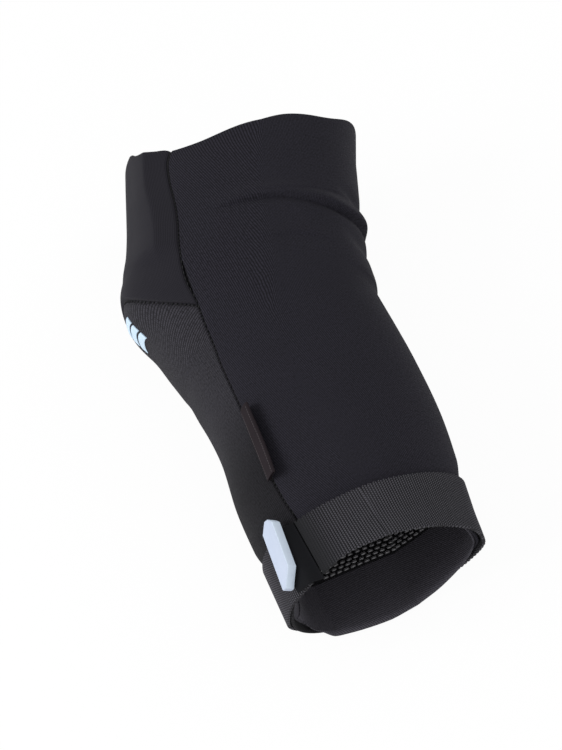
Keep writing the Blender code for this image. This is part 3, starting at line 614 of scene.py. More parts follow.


# Knits. On the pad cover the cloth is darkened towards the strap over the given stations: painted shade.
knitLook = {"roughness": 0.9, "sheenRoughness": 0.45, "mottleScale": 45.0, "slant": 0.5, "fuzz": 0.2}
knits = {
    "sleeve knit": {
        "yarn": (0.0252, 0.0237, 0.0330), "gap": (0.0054, 0.0051, 0.0070),
        "wale": 0.84 * mm, "course": 0.75 * mm, "turn": 0.3, "uneven": 0.7, "mottle": 0.10, "bump": 0.35,
        "bumpDepth": 0.25 * mm, "specular": 0.12, "sheen": 0.02,
    },
    "front panel knit": {
        "yarn": (0.0210, 0.0198, 0.0262), "gap": (0.0085, 0.0080, 0.0106),
        "wale": 0.7 * mm, "course": 0.6 * mm, "turn": 0.0, "uneven": 0.2, "mottle": 0.08, "bump": 0.25,
        "bumpDepth": 0.2 * mm, "specular": 0.12, "sheen": 0.03,
    },
    "pad cover knit": {
        "yarn": (0.0385, 0.0368, 0.0452), "gap": (0.0082, 0.0078, 0.0098),
        "wale": 0.86 * mm, "course": 0.78 * mm, "turn": -1.15, "fuzz": 0.25, "uneven": 0.9, "mottle": 0.14,
        # the pad cover's darkening towards the strap is painted shade
        "bump": 0.5, "bumpDepth": 0.3 * mm, "specular": 0.15, "sheen": 0.02, "paintedLowShade": 0.42,
        "paintedShadeReach": (55 * mm, 105 * mm),
    },
    "lining knit": {
        "yarn": (0.0780, 0.0742, 0.0895), "gap": (0.0180, 0.0171, 0.0208),
        "wale": 0.85 * mm, "course": 0.75 * mm, "turn": -0.7, "uneven": 0.5, "mottle": 0.10, "bump": 0.35,
        "bumpDepth": 0.2 * mm, "specular": 0.12, "sheen": 0.03,
    },
}


def knitMaterial(name, look):
    look = {**knitLook, **look}
    material, tree, shader = newMaterial(name, look)
    uv = uvPlace(tree)
    sizes = {label: look[label.lower()] for label in ("Wale", "Course", "Turn", "Slant", "Fuzz", "Uneven")}
    knit = useGroup(tree, knitGroup, {"Vector": uv, **sizes})
    colour = mixColour(tree, knit["Yarn"], look["gap"], look["yarn"])
    # painted shade: the cloth grows darker towards the strap
    if "paintedLowShade" in look:
        lit = stepUp(tree, axes(tree, uv)["Y"], *look["paintedShadeReach"])
        share = calc(tree, "MULTIPLY_ADD", lit, 1.0 - look["paintedLowShade"], look["paintedLowShade"])
        colour = scaleColour(tree, colour, share)
    setColour(tree, shader, colour, uv, look)
    setBump(tree, shader, knit["Height"], look)
    return material


sleeveKnit, panelKnit, padKnit, liningKnit = [knitMaterial(*item) for item in knits.items()]

# Woven tapes. A rib gives painted shade in the gap between ribs, and runOut is the length over which the end
# is darkened with painted shade.
tapeLook = {"sheenRoughness": 0.4, "mottleScale": 60.0, "bumpDepth": 0.15 * mm, "skew": 0.0}
tapes = {
    "ribbed webbing": {
        "yarn": (0.0700, 0.0680, 0.0800), "gap": (0.0110, 0.0106, 0.0126),
        "pitch": 1.05 * mm, "rib": strap["ribPitch"], "ribGap": (0.0045, 0.0045, 0.0055), "mottle": 0.08,
        "bump": 0.8, "roughness": 0.75, "specular": 0.2, "sheen": 0.03, "runOut": 18 * mm,
        "paintedEndShade": (0.0050, 0.0052, 0.0066),
    },
    # its dark colour is partly the strap end's own tone and partly painted shade where the pull tab shades it
    "smooth strap cloth": {
        "yarn": (0.0046, 0.0049, 0.0064), "gap": (0.0032, 0.0034, 0.0045),
        "pitch": 0.5 * mm, "skew": 0.5, "mottle": 0.10, "bump": 0.2, "roughness": 0.8, "specular": 0.12,
        "sheen": 0.02,
    },
    "elastic tape": {
        "yarn": (0.0090, 0.0087, 0.0104), "gap": (0.0035, 0.0034, 0.0041),
        "pitch": 0.9 * mm, "mottle": 0.10, "bump": 0.5, "roughness": 0.85, "specular": 0.15, "sheen": 0.03,
    },
    "satin label tape": {
        "yarn": (0.0215, 0.0168, 0.0195), "gap": (0.0120, 0.0094, 0.0110),
        "pitch": 0.6 * mm, "mottle": 0.2, "bump": 0.3, "roughness": 0.8, "specular": 0.04, "sheen": 0.0,
    },
}


def tapeMaterial(name, look):
    look = {**tapeLook, **look}
    material, tree, shader = newMaterial(name, look)
    uv = uvPlace(tree)
    threads = useGroup(tree, threadGroup, {
        "Vector": uv, "Pitch": look["pitch"], "Skew": look["skew"], "Rib": look.get("rib", 1.0),
    })
    colour = mixColour(tree, threads["Height"], look["gap"], look["yarn"])
    height = threads["Height"]
    if "rib" in look:
        # painted shade in the gaps between the ribs
        colour = mixColour(tree, threads["Rib"], look["ribGap"], colour)
        height = calc(tree, "MULTIPLY", height, threads["Rib"])
    if "runOut" in look:
        # painted shade: the webbing darkens towards its sewn end, beside the pull tab
        fromEnd = axes(tree, uv)["X"]
        colour = mixColour(tree, stepUp(tree, fromEnd, 0.0, look["runOut"]), look["paintedEndShade"], colour)
    setColour(tree, shader, colour, uv, look)
    setBump(tree, shader, height, look)
    return material


webbingCloth, smoothCloth, elasticTape, labelTape = [tapeMaterial(*item) for item in tapes.items()]

# Moulded rubber or plastic with a faint grain. The paler colour of the faces towards the piece's own +X is
# painted light.
mouldedLook = {"sheen": 0.0, "sheenRoughness": 0.5, "bumpDepth": 0.1 * mm, "grainRough": 0.2}
threadLook = {
    "roughness": 0.7, "specular": 0.3, "mottleScale": 500.0, "mottle": 0.2, "grain": 5000.0, "bump": 0.5,
}
moulded = {
    "pale tab rubber": {
        # the paler side colour of the tab is painted light
        "colour": (0.45, 0.51, 0.63), "paintedSideLight": (0.68, 0.78, 0.91),
        "roughness": 0.5, "specular": 0.35, "mottleScale": 90.0, "mottle": 0.04, "grain": 2500.0,
        "bump": 0.15,
    },
    "glossy grip rubber": {
        "colour": (0.085, 0.083, 0.090), "roughness": 0.25, "specular": 0.8,
        "mottleScale": 300.0, "mottle": 0.2, "grain": 3000.0, "bump": 0.2,
    },
    "pad foam": {
        "colour": (0.055, 0.055, 0.06), "roughness": 0.85, "specular": 0.2,
        "mottleScale": 200.0, "mottle": 0.2, "grain": 1800.0, "bump": 0.6,
    },
    "pale blue print": {
        "colour": (0.52, 0.66, 0.80), "roughness": 0.45, "specular": 0.4,
        "mottleScale": 150.0, "mottle": 0.05, "grain": 2500.0, "bump": 0.2,
    },
    "hook and loop": {
        "colour": (0.012, 0.012, 0.013), "roughness": 0.8, "specular": 0.3,
        "mottleScale": 400.0, "mottle": 0.3, "grain": 2200.0, "bump": 0.9,
    },
    "sewing thread": {**threadLook, "colour": (0.005, 0.005, 0.006)},
    "label edge thread": {**threadLook, "colour": (0.075, 0.068, 0.072)},
}


def mouldedMaterial(name, look):
    look = {**mouldedLook, **look}
    material, tree, shader = newMaterial(name, look)
    place = put(tree, "ShaderNodeTexCoord").outputs
    setColour(tree, shader, (*look["colour"], 1.0), place["Object"], look)
    # painted light: the faces towards +X are made paler
    if "paintedSideLight" in look:
        plain = shader.inputs["Base Color"].links[0].from_socket
        sideways = stepUp(tree, axes(tree, place["Normal"])["X"], 0.2, 0.9)
        tree.links.new(mixColour(tree, sideways, plain, look["paintedSideLight"]), shader.inputs["Base Color"])
    grain = noise(tree, place["Object"], look["grain"], 2.0)
    rough = calc(tree, "MULTIPLY_ADD", grain, look["grainRough"], look["roughness"] - look["grainRough"] / 2)
    tree.links.new(rough, shader.inputs["Roughness"])
    setBump(tree, shader, grain, look)
    return material


tabRubber, gripRubber, padFoam, patchRubber, hookCloth, sewingThread, paleThread = [
    mouldedMaterial(*item) for item in moulded.items()]
print("materials:", len(bpy.data.materials))

# Sleeve panels: steps of their nets, finer at the edges, at the front ridge and at the crook's folds
panelNet = {
    "seamHalfGap": 0.16, "angleStep": 2.0,
    "angleEdges": (0.18, 0.25, 0.35, 0.5, 0.7, 1.0, 1.4),
    "ridgeAngles": (30.0, 44.0, 0.7),
    "rowStep": 0.006,
    "rowEdges": (0.002, 0.003, 0.004, 0.006, 0.008),
    "evenRowsTo": 0.614,
    "foldRows": (0.67, 0.88, 91),
    "evenRowsFrom": 0.884, "upperRowStep": 0.018,
    "upperRowEdges": (0.004, 0.006, 0.009, 0.013),
    "padRowStep": 0.009,
}
seamHalfGap = panelNet["seamHalfGap"]
rowEdges = panelNet["rowEdges"]
backAngles = graded(
    seam + seamHalfGap, fullTurn - seam - seamHalfGap, panelNet["angleStep"], panelNet["angleEdges"])
frontAngles = graded(seamHalfGap - seam, seam - seamHalfGap, panelNet["angleStep"], panelNet["angleEdges"])
ridgeAngles = np.arange(*panelNet["ridgeAngles"])
frontAngles = np.concatenate([
    frontAngles[frontAngles < panelNet["ridgeAngles"][0]], ridgeAngles,
    frontAngles[frontAngles > panelNet["ridgeAngles"][1]],
])
evenRows = graded(0, 1, panelNet["rowStep"], rowEdges)
backRows = np.concatenate([
    evenRows[evenRows < panelNet["evenRowsTo"]], np.linspace(*panelNet["foldRows"]),
    evenRows[evenRows > panelNet["evenRowsFrom"]],
])
backPanel = clothShell(
    "back_panel", backAngles, backRows, rimEdge(backAngles), topEdge(backAngles), 0.0, cloth)
dress(backPanel, sleeveKnit, "sleeve_knit", "back_panel_forearm", "back_panel_elbow", "back_panel_upper")
frontUpper = clothShell(
    "front_upper", frontAngles, graded(0, 1, panelNet["upperRowStep"], panelNet["upperRowEdges"]),
    padTop(frontAngles), topEdge(frontAngles), 0.0, cloth,
)
dress(frontUpper, panelKnit, "panel_knit", "front_upper_panel", "front_stretch_panel")
padCover = clothShell(
    "pad_cover_cloth", frontAngles, graded(0, 1, panelNet["padRowStep"], rowEdges),
    rimEdge(frontAngles) + padPanel["rimGap"], padTop(frontAngles) - padPanel["topGap"], 0.0, cloth,
)
dress(padCover, padKnit, "pad_knit", "pad_cover")
panels = (backPanel, frontUpper, padCover)
print("panels:", sum(len(piece.data.vertices) for piece in panels), "points")


# Pad, its lining and the seam tapes behind it
def padHigh(angle):
    low = strap["width"] + 2 * strap["ease"]
    return low + (padTop(angle) - low) * padPanel["highShare"]


def padThickness(station, angle):
    middle = (padHigh(angle) + padPanel["low"]) / 2
    reach = (padHigh(angle) - padPanel["low"]) / 2
    across = np.clip(1.0 - (angle / padPanel["halfAngle"]) ** 2, 0.0, 1.0)
    lengthwise = np.clip(1.0 - ((station - middle) / reach) ** 4, 0.0, 1.0)
    return padPanel["edgeThickness"] + padPanel["crown"] * across * lengthwise


seamTape = {"half": 3.4, "lift": 0.2 * mm, "thickness": 1.2 * mm, "low": 24 * mm, "topGap": 0.4 * mm,
            "padTopWidth": 4 * mm, "padTopGap": 0.8 * mm}
pocket = {
    "seamGap": 1.35,  # net angle between the seam tape and the lining
    "thickness": 1.0 * mm, "topGap": 0.5 * mm,
    "lowEnd": 4.5 * mm,  # station of its rounded lower end
    "lowRound": 7 * mm,
    "corner": (26.0, 18.0),  # net angle from which the lower end comes down to the rim, and over how much
    "rimGap": 0.6 * mm,
    "flatHalf": 18.0,  # half angle of the full part at the lower end
    "widening": (12 * mm, 10 * mm),
    "swell": 2.2 * mm, "swellStation": 14 * mm, "swellWidth": 9 * mm, "swellHalf": 44.0,
}
liningHalf = seam - seamTape["half"] - pocket["seamGap"]


def liningLow(angle):
    towardsSeam = ramp(np.abs(angle), *pocket["corner"])
    return pocket["lowEnd"] + (rimEdge(angle) + pocket["rimGap"] - pocket["lowEnd"]) * towardsSeam


def liningLevel(station, angle):
    wider = ramp(station, *pocket["widening"])
    flatHalf = pocket["flatHalf"] + (padPanel["halfAngle"] - pocket["flatHalf"]) * wider
    sideways = (np.abs(angle) - flatHalf) / (liningHalf - flatHalf)
    below = (liningLow(angle) + pocket["lowRound"] - station) / pocket["lowRound"]
    above = (station - padHigh(angle)) / (padTop(angle) - seamTape["padTopWidth"] - padHigh(angle))
    plump = np.sqrt(1.0 - np.clip(below, 0.0, 1.0) ** 2)
    inside = (1.0 - smooth(sideways)) * (1.0 - smooth(above)) * plump
    swell = pocket["swell"] * bump((station - pocket["swellStation"]) / pocket["swellWidth"])
    swell = swell * np.clip(1.0 - (angle / pocket["swellHalf"]) ** 2, 0.0, 1.0)
    return innerLayer - (padThickness(station, angle) + gap + swell) * inside


padAngles = graded(-padPanel["halfAngle"], padPanel["halfAngle"], 2.5, (0.5, 1.0))
padInsert = clothShell(
    "pad_insert_foam", padAngles, graded(0, 1, 0.02, (0.004, 0.008)), padPanel["low"], padHigh(padAngles),
    innerLayer, padThickness,
)
dress(padInsert, padFoam, "pad_foam", "pad_insert")
liningAngles = graded(-liningHalf, liningHalf, 2.0, (0.4, 0.8))
liningTop = padTop(liningAngles) - seamTape["padTopWidth"] - pocket["topGap"]
pocketLining = clothShell(
    "pocket_lining_cloth", liningAngles, graded(0, 1, 0.012, rowEdges), liningLow(liningAngles), liningTop,
    liningLevel, pocket["thickness"],
)
dress(pocketLining, liningKnit, "lining_cloth", "pocket_lining")
padTopSeam = clothShell(
    "pad_top_seam_tape", liningAngles, 5, liningTop + seamTape["padTopGap"],
    padTop(liningAngles), innerLayer, seamTape["thickness"],
)
dress(padTopSeam, elasticTape, "tape", "pad_top_seam")

topBand = {"width": 20 * mm, "inset": 2 * mm, "thickness": 1.0 * mm}
topLow = armLength - topBand["width"] - topBand["inset"]
seamSides = (("near", seam), ("far", fullTurn - seam))
sideSeams = []
for side, middle in seamSides:
    tape = clothShell(
        side + "_seam_tape", middle + np.linspace(-seamTape["half"], seamTape["half"], 9), 90,
        seamTape["low"], topLow - seamTape["topGap"], innerLayer + seamTape["lift"], seamTape["thickness"],
    )
    sideSeams.append(dress(tape, elasticTape, "tape", side + "_seam_forearm", side + "_seam_upper"))
print("pad and seams done")

# Forearm rim: facing, grip tape and its rubber bars. Angles are net angles, counted from the lining's
# far edge where the name starts with lap or rollEnd.
cuff = {
    "width": 23 * mm, "facing": 1.0 * mm, "rimGap": 0.6 * mm, "overlap": 29.0, "lapThickness": 0.5 * mm,
    "lapFade": 16.0,
    "lapLow": (4.0, 18.0),
    "lapGap": 1.02 * mm,
    "joinAngle": 172.0,  # where the facing is joined to a ring: a ridge between two grooves
    "joinHeight": 0.9 * mm, "joinWidth": 3.0, "joinFade": 5 * mm, "grooveShare": 0.7, "groovePlace": 5.5,
    "grooveWidth": 1.6,
    "drop": (  # net angle, how far the rolled rim hangs past the strap
        (40, 0.0), (170, 0.0), (182, 0.0006), (195, 0.0014), (210, 0.0018), (225, 0.0022), (240, 0.0028),
        (273, 0.0048), (288, 0.0038), (300, 0.0025), (312, 0.0017), (325, 0.0010), (345, 0.0), (360, 0.0),
    ),
    "rollFirst": (0.05, 0.3),  # height in the section under which the rim rolls over, and its fade
    "rollEnd": (14.0, 24.0),
    "rollRise": 2.0 * mm, "rollRun": 1.6 * mm, "rollSeat": 0.4 * mm, "tape": 0.8 * mm, "tapeWidth": 12.5 * mm,
    "tapeGap": 0.4 * mm, "tapeFirst": 57.0,
}
farEdge = fullTurn - liningHalf
facingAngles = graded(liningHalf + 0.4, farEdge + cuff["overlap"], 1.5, (0.3, 0.6, 1.0))
cuffAngles = graded(cuff["tapeFirst"], fullTurn - cuff["tapeFirst"], 2.5, (0.5, 1.0))


def floorSide(angle):
    return np.maximum(-np.sin(sectionAngle(0.0, np.asarray(angle))), 0.0)


def facingLap(angle):
    return smooth((angle - farEdge + cuff["lapFade"]) / cuff["lapFade"])


def facingLow(angle):
    # on the floor side the facing rolls over the rim, and its far end laps over the pocket lining
    rim = rimEdge(angle) + cuff["rimGap"] - followProfile(cuff["drop"], angle)
    lap = ramp(angle - farEdge, *cuff["lapLow"])
    return rim + (liningLow(angle - fullTurn) - rim) * lap


def facingRoll(station, angle):
    end, fade = cuff["rollEnd"]
    hangs = ramp(floorSide(angle), *cuff["rollFirst"]) * smooth((farEdge + end - angle) / fade)
    return hangs * (1.0 - smooth((station - rimEdge(angle) + cuff["rollRise"]) / cuff["rollRun"]))


def facingLevel(station, angle):
    across = np.abs(angle - cuff["joinAngle"])
    groove = bump((across - cuff["groovePlace"]) / cuff["grooveWidth"])
    join = cuff["joinHeight"] * (bump((across / cuff["joinWidth"]) ** 2) - cuff["grooveShare"] * groove)
    lining = liningLevel(np.maximum(station, liningLow(angle - fullTurn)), angle - fullTurn) - cuff["lapGap"]
    level = innerLayer + (lining - innerLayer) * facingLap(angle)
    level = level - join * smooth((station - rimEdge(angle)) / cuff["joinFade"])
    return level + (strapSeatDepth - cuff["rollSeat"] - level) * facingRoll(station, angle)


def facingThickness(station, angle):
    least = cuff["facing"] + (cuff["lapThickness"] - cuff["facing"]) * facingLap(angle)
    inner = facingLevel(np.maximum(station, rimEdge(angle)), angle) - least
    return np.maximum(facingLevel(station, angle) - inner, least)


cuffFacing = clothShell(
    "cuff_facing_cloth", facingAngles, graded(0, 1, 0.03, (0.01, 0.015, 0.02)), facingLow(facingAngles),
    cuff["width"], facingLevel, facingThickness, capRows=10,
)
dress(cuffFacing, liningKnit, "sleeve_knit", "cuff_facing")
tapeLow = cuff["width"] + cuff["tapeGap"]
gripTape = clothShell(
    "cuff_grip_tape_cloth", cuffAngles, 9, tapeLow, tapeLow + cuff["tapeWidth"], innerLayer,
    cuff["tape"],
)
dress(gripTape, elasticTape, "tape", "cuff_grip_tape")

gripBars = {
    "pitch": 3.5 * mm, "rows": 6, "length": 2.7 * mm, "width": 1.3 * mm, "height": 0.9 * mm, "first": 64.0,
    "margin": 0.8 * mm, "rowPlace": 0.4, "sink": 0.05 * mm, "sides": 12, "square": 0.5, "sharpAngle": 60.0,
    "dome": ((1.0, 0.0), (1.0, 0.45), (0.86, 0.8), (0.55, 1.0)),  # share of the outline, share of the height
}


def roundedBar(centre, alongDir, aroundDir, outDir):
    # small bar with a domed top: rings of an oval outline drawn in towards the top
    points = []
    for share, rise in gripBars["dome"]:
        for turn in np.linspace(0, 2 * math.pi, gripBars["sides"], endpoint=False):
            c = signedPower(math.cos(turn), gripBars["square"])
            s = signedPower(math.sin(turn), gripBars["square"])
            flatPlace = aroundDir * c * gripBars["length"] / 2 * share
            flatPlace = flatPlace + alongDir * s * gripBars["width"] / 2 * share
            points.append(centre + flatPlace + outDir * rise * gripBars["height"])
    return points


def makeGripBars():
    points = []
    faces = []
    tapeFace = innerLayer - cuff["tape"] - gripBars["sink"]
    steps = evenAngles(gripBars["first"], fullTurn - gripBars["first"], gripBars["pitch"], tapeLow, tapeFace)
    rowStep = (cuff["tapeWidth"] - gripBars["margin"]) / gripBars["rows"]
    for row in range(gripBars["rows"]):
        station = tapeLow + gripBars["margin"] + rowStep * (row + gripBars["rowPlace"])
        middles = (steps[:-1] + steps[1:]) / 2 if row % 2 else steps[1:-1]
        for angle in middles:
            point, along, around, outward = sleeveFrame(station, angle)
            faces += ringFaces(len(points), len(gripBars["dome"]), gripBars["sides"])
            points += roundedBar(point + outward * tapeFace, along, around, -outward)
    return fixNormals(newPiece(
        "cuff_grip_bars_rubber", points, faces, np.array(points)[:, :2], gripBars["sharpAngle"]))


bars = dress(makeGripBars(), gripRubber, "grip_rubber", "cuff_grip_bars")
topGrip = clothShell(
    "top_grip_band_cloth", np.linspace(0, fullTurn, 145), 12, topLow,
    armLength - topBand["inset"], innerLayer, topBand["thickness"],
)
dress(topGrip, elasticTape, "tape", "top_grip_band")
print("cuff and top band done")


# Strap: ribbed webbing, smooth end with hook patch and pull tab, loop patch under it
def makeWebbing():
    first = strap["hinge"] + strap["hingeGap"] - fullTurn
    edges = evenAngles(first, strap["start"], strap["ribPitch"], strap["width"] / 2, strapSeatDepth)
    phases = np.array(strap["ribPhases"])
    ribAngles = (edges[:-1, None] + np.diff(edges)[:, None] * phases).ravel()
    ribPhase = (np.arange(len(edges) - 1)[:, None] + phases).ravel()
    ribAngles = np.append(ribAngles, edges[-1])
    ribPhase = np.append(ribPhase, len(edges) - 1)
    fromEnd = ribPhase * strap["ribPitch"]
    swell = np.abs(np.sin(math.pi * ribPhase)) ** strap["ribRound"] * smooth(fromEnd / strap["runOut"])
    loops = strap["edgeLoop"] * np.cos(math.pi * ribPhase / 2) ** 2
    turn = np.mod(ribAngles, fullTurn)
    end, fade = strap["flareLast"]
    flare = strap["flare"] * ramp(turn, *strap["flareFirst"]) * smooth((end - turn) / fade)

    def webbingLevel(station, angle):
        lifted = flare * (1.0 - smooth(station / (strap["flareReach"] * strap["width"])))
        return strapSeatDepth + strap["ribHeight"] * (np.broadcast_to(swell, angle.shape) - 0.5) + lifted

    lowEdge = strap["lowInset"] + followProfile(strap["lowEdge"], turn) - strap["lowLoops"] * loops
    return clothShell(
        "strap_webbing", ribAngles, 40, lowEdge, strap["width"] - strap["highInset"] + loops,
        webbingLevel, strap["thickness"], False, bulge=0.5, uCoord=fromEnd,
    )


webbing = dress(makeWebbing(), webbingCloth, "webbing", "strap_band")
loopLevel = strapSeatDepth + gap
hookLevel = loopLevel + strap["patchThickness"] + gap
endLevel = hookLevel + strap["patchThickness"] + gap
tabLevel = endLevel + strap["endThickness"] + gap


def strapEndLevel(station, angle):
    rise = smooth((strap["hinge"] - angle) / strap["rise"])
    return gap + strap["endThickness"] + rise * (endLevel - gap)


def makePatch(name, spread, level):
    return clothShell(
        name, np.linspace(strap["hookFirst"] - spread, strap["hookLast"] + spread, 9), 12,
        strap["patchInset"], strap["width"] - strap["patchInset"], level + strap["patchThickness"],
        strap["patchThickness"], False,
    )


strapEnd = clothShell(
    "strap_end_cloth", graded(strap["tip"], strap["hinge"] - strap["hingeGap"], 0.8, (0.2, 0.4)),
    14, 0.0, strap["width"], strapEndLevel, strap["endThickness"], False,
)
dress(strapEnd, smoothCloth, "smooth_strap", "strap_end")
hookPatch = dress(makePatch("hook_patch_cloth", 0.0, hookLevel), hookCloth, "hook_loop", "hook_patch")
loopPatch = makePatch("loop_patch_cloth", strap["patchSpread"], loopLevel)
dress(loopPatch, hookCloth, "hook_loop", "loop_patch")

tab = {"length": 32.5 * mm, "width": 7.6 * mm, "thickness": 5.8 * mm, "station": 17.6 * mm, "angle": 36.2,
       "tilt": math.radians(8), "edge": 0.55 * mm, "sharpAngle": math.radians(50), "cut": 5 * mm,
       "smallCut": 2 * mm, "slimCut": 3.5 * mm, "longCut": 8.5 * mm}


def frameMatrix(station, angle, level):
    point, along, around, outward = sleeveFrame(station, angle)
    place = point + outward * level
    turned = np.stack([around, along, outward], axis=1)
    return Matrix([(*row, place[i]) for i, row in enumerate(turned)] + [(0, 0, 0, 1)])


def makeTab():
    halfWidth = tab["width"] / 2
    halfLength = tab["length"] / 2
    outline = (
        (-halfWidth, -halfLength), (tab["smallCut"] - halfWidth, -halfLength),
        (halfWidth, tab["longCut"] - halfLength),
        (halfWidth, halfLength - tab["smallCut"]), (halfWidth - tab["smallCut"], halfLength),
        (tab["slimCut"] - halfWidth, halfLength), (-halfWidth, halfLength - tab["cut"]),
    )
    mesh = bmesh.new()
    base = mesh.faces.new([mesh.verts.new((x, y, 0.0)) for x, y in outline])
    raised = bmesh.ops.extrude_face_region(mesh, geom=[base])["geom"]
    raised = [item for item in raised if isinstance(item, bmesh.types.BMVert)]
    bmesh.ops.translate(mesh, verts=raised, vec=(0, 0, tab["thickness"]))
    bmesh.ops.recalc_face_normals(mesh, faces=mesh.faces)
    bmesh.ops.bevel(mesh, geom=list(mesh.edges), offset=tab["edge"], segments=3, profile=0.5, affect="EDGES")
    data = bpy.data.meshes.new("pull_tab_rubber")
    mesh.to_mesh(data)
    mesh.free()
    data.shade_smooth()
    data.set_sharp_from_angle(angle=tab["sharpAngle"])
    piece = bpy.data.objects.new("pull_tab_rubber", data)
    bpy.context.scene.collection.objects.link(piece)
    tilted = Matrix.Rotation(-tab["tilt"], 4, "Z")
    piece.matrix_world = frameMatrix(tab["station"], tab["angle"], tabLevel) @ tilted
    return piece


pullTab = dress(makeTab(), tabRubber, "tab_rubber", "pull_tab")
print("strap done")

# Side label: a strip folded in half, sewn into the near seam and leaning over the back panel
label = {
    "length": 37 * mm, "height": 8.5 * mm, "strip": 0.5 * mm, "fold": 0.45 * mm, "station": 70.5 * mm,
    "lift": 0.8 * mm, "lean": math.radians(57), "rootLean": 0.75,  # share of the lean at the seam
    "curl": math.radians(2), "curlTurn": 5.2, "curlPhase": 0.6, "curlMean": 0.6,
    "threadRises": (1.1 * mm, 7.4 * mm), "threadPitch": 1.3 * mm, "threadLength": 0.9 * mm,
    "threadRadius": 0.14 * mm, "threadReach": 0.47, "uvStep": 0.6 * mm,
}


def labelPlace(share, across, rise):
    # place on the leaning label: share of its length, distance from its middle, height above the seam
    curl = math.cos(label["curlTurn"] * share + label["curlPhase"]) - label["curlMean"]
    lean = label["lean"] + label["curl"] * curl
    bend = lean * (label["rootLean"] + (1.0 - label["rootLean"]) * rise / label["height"])
    x = across * np.cos(bend) + rise * np.sin(bend)
    z = rise * np.cos(bend) - across * np.sin(bend)
    return np.stack([x, np.full(np.shape(x), share * label["length"]), z], axis=-1)


def makeLabel():
    inner = label["fold"] / 2
    outer = inner + label["strip"]
    turns = np.linspace(math.pi, 0, 9)
    rise = np.linspace(0, label["height"] - outer, 8)
    outside = [(-outer, z) for z in rise[:-1]]
    outside += [(outer * math.cos(t), rise[-1] + outer * math.sin(t)) for t in turns]
    outside += [(outer, z) for z in rise[-2::-1]]
    inside = [(inner, z) for z in rise[:-1]]
    inside += [(inner * math.cos(t), rise[-1] + inner * math.sin(t)) for t in turns[::-1]]
    inside += [(-inner, z) for z in rise[-2::-1]]
    profile = np.array(outside + inside)
    size = len(profile)
    rows = np.linspace(-0.5, 0.5, 25)
    points = []
    uv = []
    for share in rows:
        points += labelPlace(share, profile[:, 0], profile[:, 1]).tolist()
        uv += [(place * label["uvStep"], share * label["length"]) for place in range(size)]
    faces = ringFaces(0, len(rows), size, capped=False)
    for row in (0, len(rows) - 1):
        for k in range(len(outside) - 1):
            a = row * size + k
            b = row * size + size - 1 - k
            faces.append([a, a + 1, b - 1, b])
    return fixNormals(newPiece("side_label_tape", points, faces, uv))


def makeLabelThread():
    # woven edge threads on the label's open face
    face = -label["fold"] / 2 - label["strip"]
    reach = label["threadLength"] / label["length"] / 2
    step = label["threadPitch"] / label["length"]
    strokes = []
    for rise in label["threadRises"]:
        for share in np.arange(-label["threadReach"], label["threadReach"], step):
            places = np.linspace(share - reach, share + reach, 4)
            strokes.append([labelPlace(place, face, rise) for place in places])
    return threadTubes("side_label_thread", strokes, label["threadRadius"])


sideLabel = dress(makeLabel(), labelTape, "label_tape", "side_label")
labelThread = dress(makeLabelThread(), paleThread, "label_tape")
for piece in (sideLabel, labelThread):
    piece.data.transform(frameMatrix(label["station"], seam, label["lift"]))

# Print at the elbow tip: plain bars
printBars = {"count": 3, "step": 2.5 * mm, "width": 1.5 * mm, "halfAngle": 6.0, "drop": 8.2 * mm,
             "thickness": 0.4 * mm, "sink": 0.1 * mm}
printAngles = graded(-printBars["halfAngle"], printBars["halfAngle"], 1.5, (0.4, 0.6))
prints = []
for k in range(printBars["count"]):
    low = padTop(printAngles) - printBars["drop"] + (k - 1) * printBars["step"] - printBars["width"] / 2
    piece = clothShell(
        "elbow_print_bar_%d" % (k + 1), printAngles, 5, low, low + printBars["width"],
        printBars["thickness"], printBars["thickness"] + printBars["sink"],
    )
    prints.append(dress(piece, patchRubber, "patch_rubber", "elbow_patch"))

# Stitches in the grooves of the seams
stitch = {"pitch": 2.1 * mm, "radius": 0.3 * mm, "half": 0.75 * mm, "level": 0.6 * mm, "lean": 0.25,
          "dip": 0.35 * mm, "first": 34 * mm, "topGap": 3 * mm, "padTopPlace": 0.6 * mm, "padTopInset": 1.0}


def seamStitches(name, stations, angles, runs):
    strokes = []
    for station, angle in zip(stations, angles):
        point, along, around, outward = sleeveFrame(station, angle)
        middle = clothPoint(np.array(station), np.array(angle), stitch["level"])
        ahead, sideways = (along, around) if runs == "along" else (around, along)
        half = (ahead + sideways * stitch["lean"]) * stitch["half"]
        dip = outward * stitch["dip"]
        strokes.append([middle + half * e - dip * e * e for e in (-1.0, -0.5, 0.0, 0.5, 1.0)])
    return dress(threadTubes(name, strokes, stitch["radius"]), sewingThread, "tape")


threads = []
seamStations = np.arange(stitch["first"], armLength - stitch["topGap"], stitch["pitch"])
for side, angle in seamSides:
    seamAngles = np.full(len(seamStations), angle)
    threads.append(seamStitches(side + "_seam_thread", seamStations, seamAngles, "along"))
padTopEnd = seam - stitch["padTopInset"]
padTopAngles = evenAngles(-padTopEnd, padTopEnd, stitch["pitch"], padPanel["top"])
padTopStations = padTop(padTopAngles) - stitch["padTopPlace"]
threads.append(seamStitches("pad_top_thread", padTopStations, padTopAngles, "around"))
print("label, print and stitches done")

# What each piece moves with
for piece in [*panels, padInsert, pocketLining, padTopSeam, *sideSeams, *threads, *prints]:
    elbowBlend(piece)
for piece in (cuffFacing, gripTape, bars, webbing, loopPatch):
    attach(piece, "forearm")
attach(topGrip, "upper_arm")
for piece in (hookPatch, pullTab):
    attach(piece, "strap_flap")
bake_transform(strapEnd)
for piece in (sideLabel, labelThread):
    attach(piece, "label")

# Camera at the photograph's angle
view = {
    "azimuth": math.radians(-24.43),
    "elevation": math.radians(60.27),
    "distance": 1.2,
    "target": (-16.367 * mm, -5.383 * mm, 33 * mm),
    "focalPixels": 2556, "imageHeight": 750, "sensor": 36.0,
    "offset": (1.5, 7.63),  # pixels by which the target lies right of and below the image centre
    "clipStart": 0.05,
}


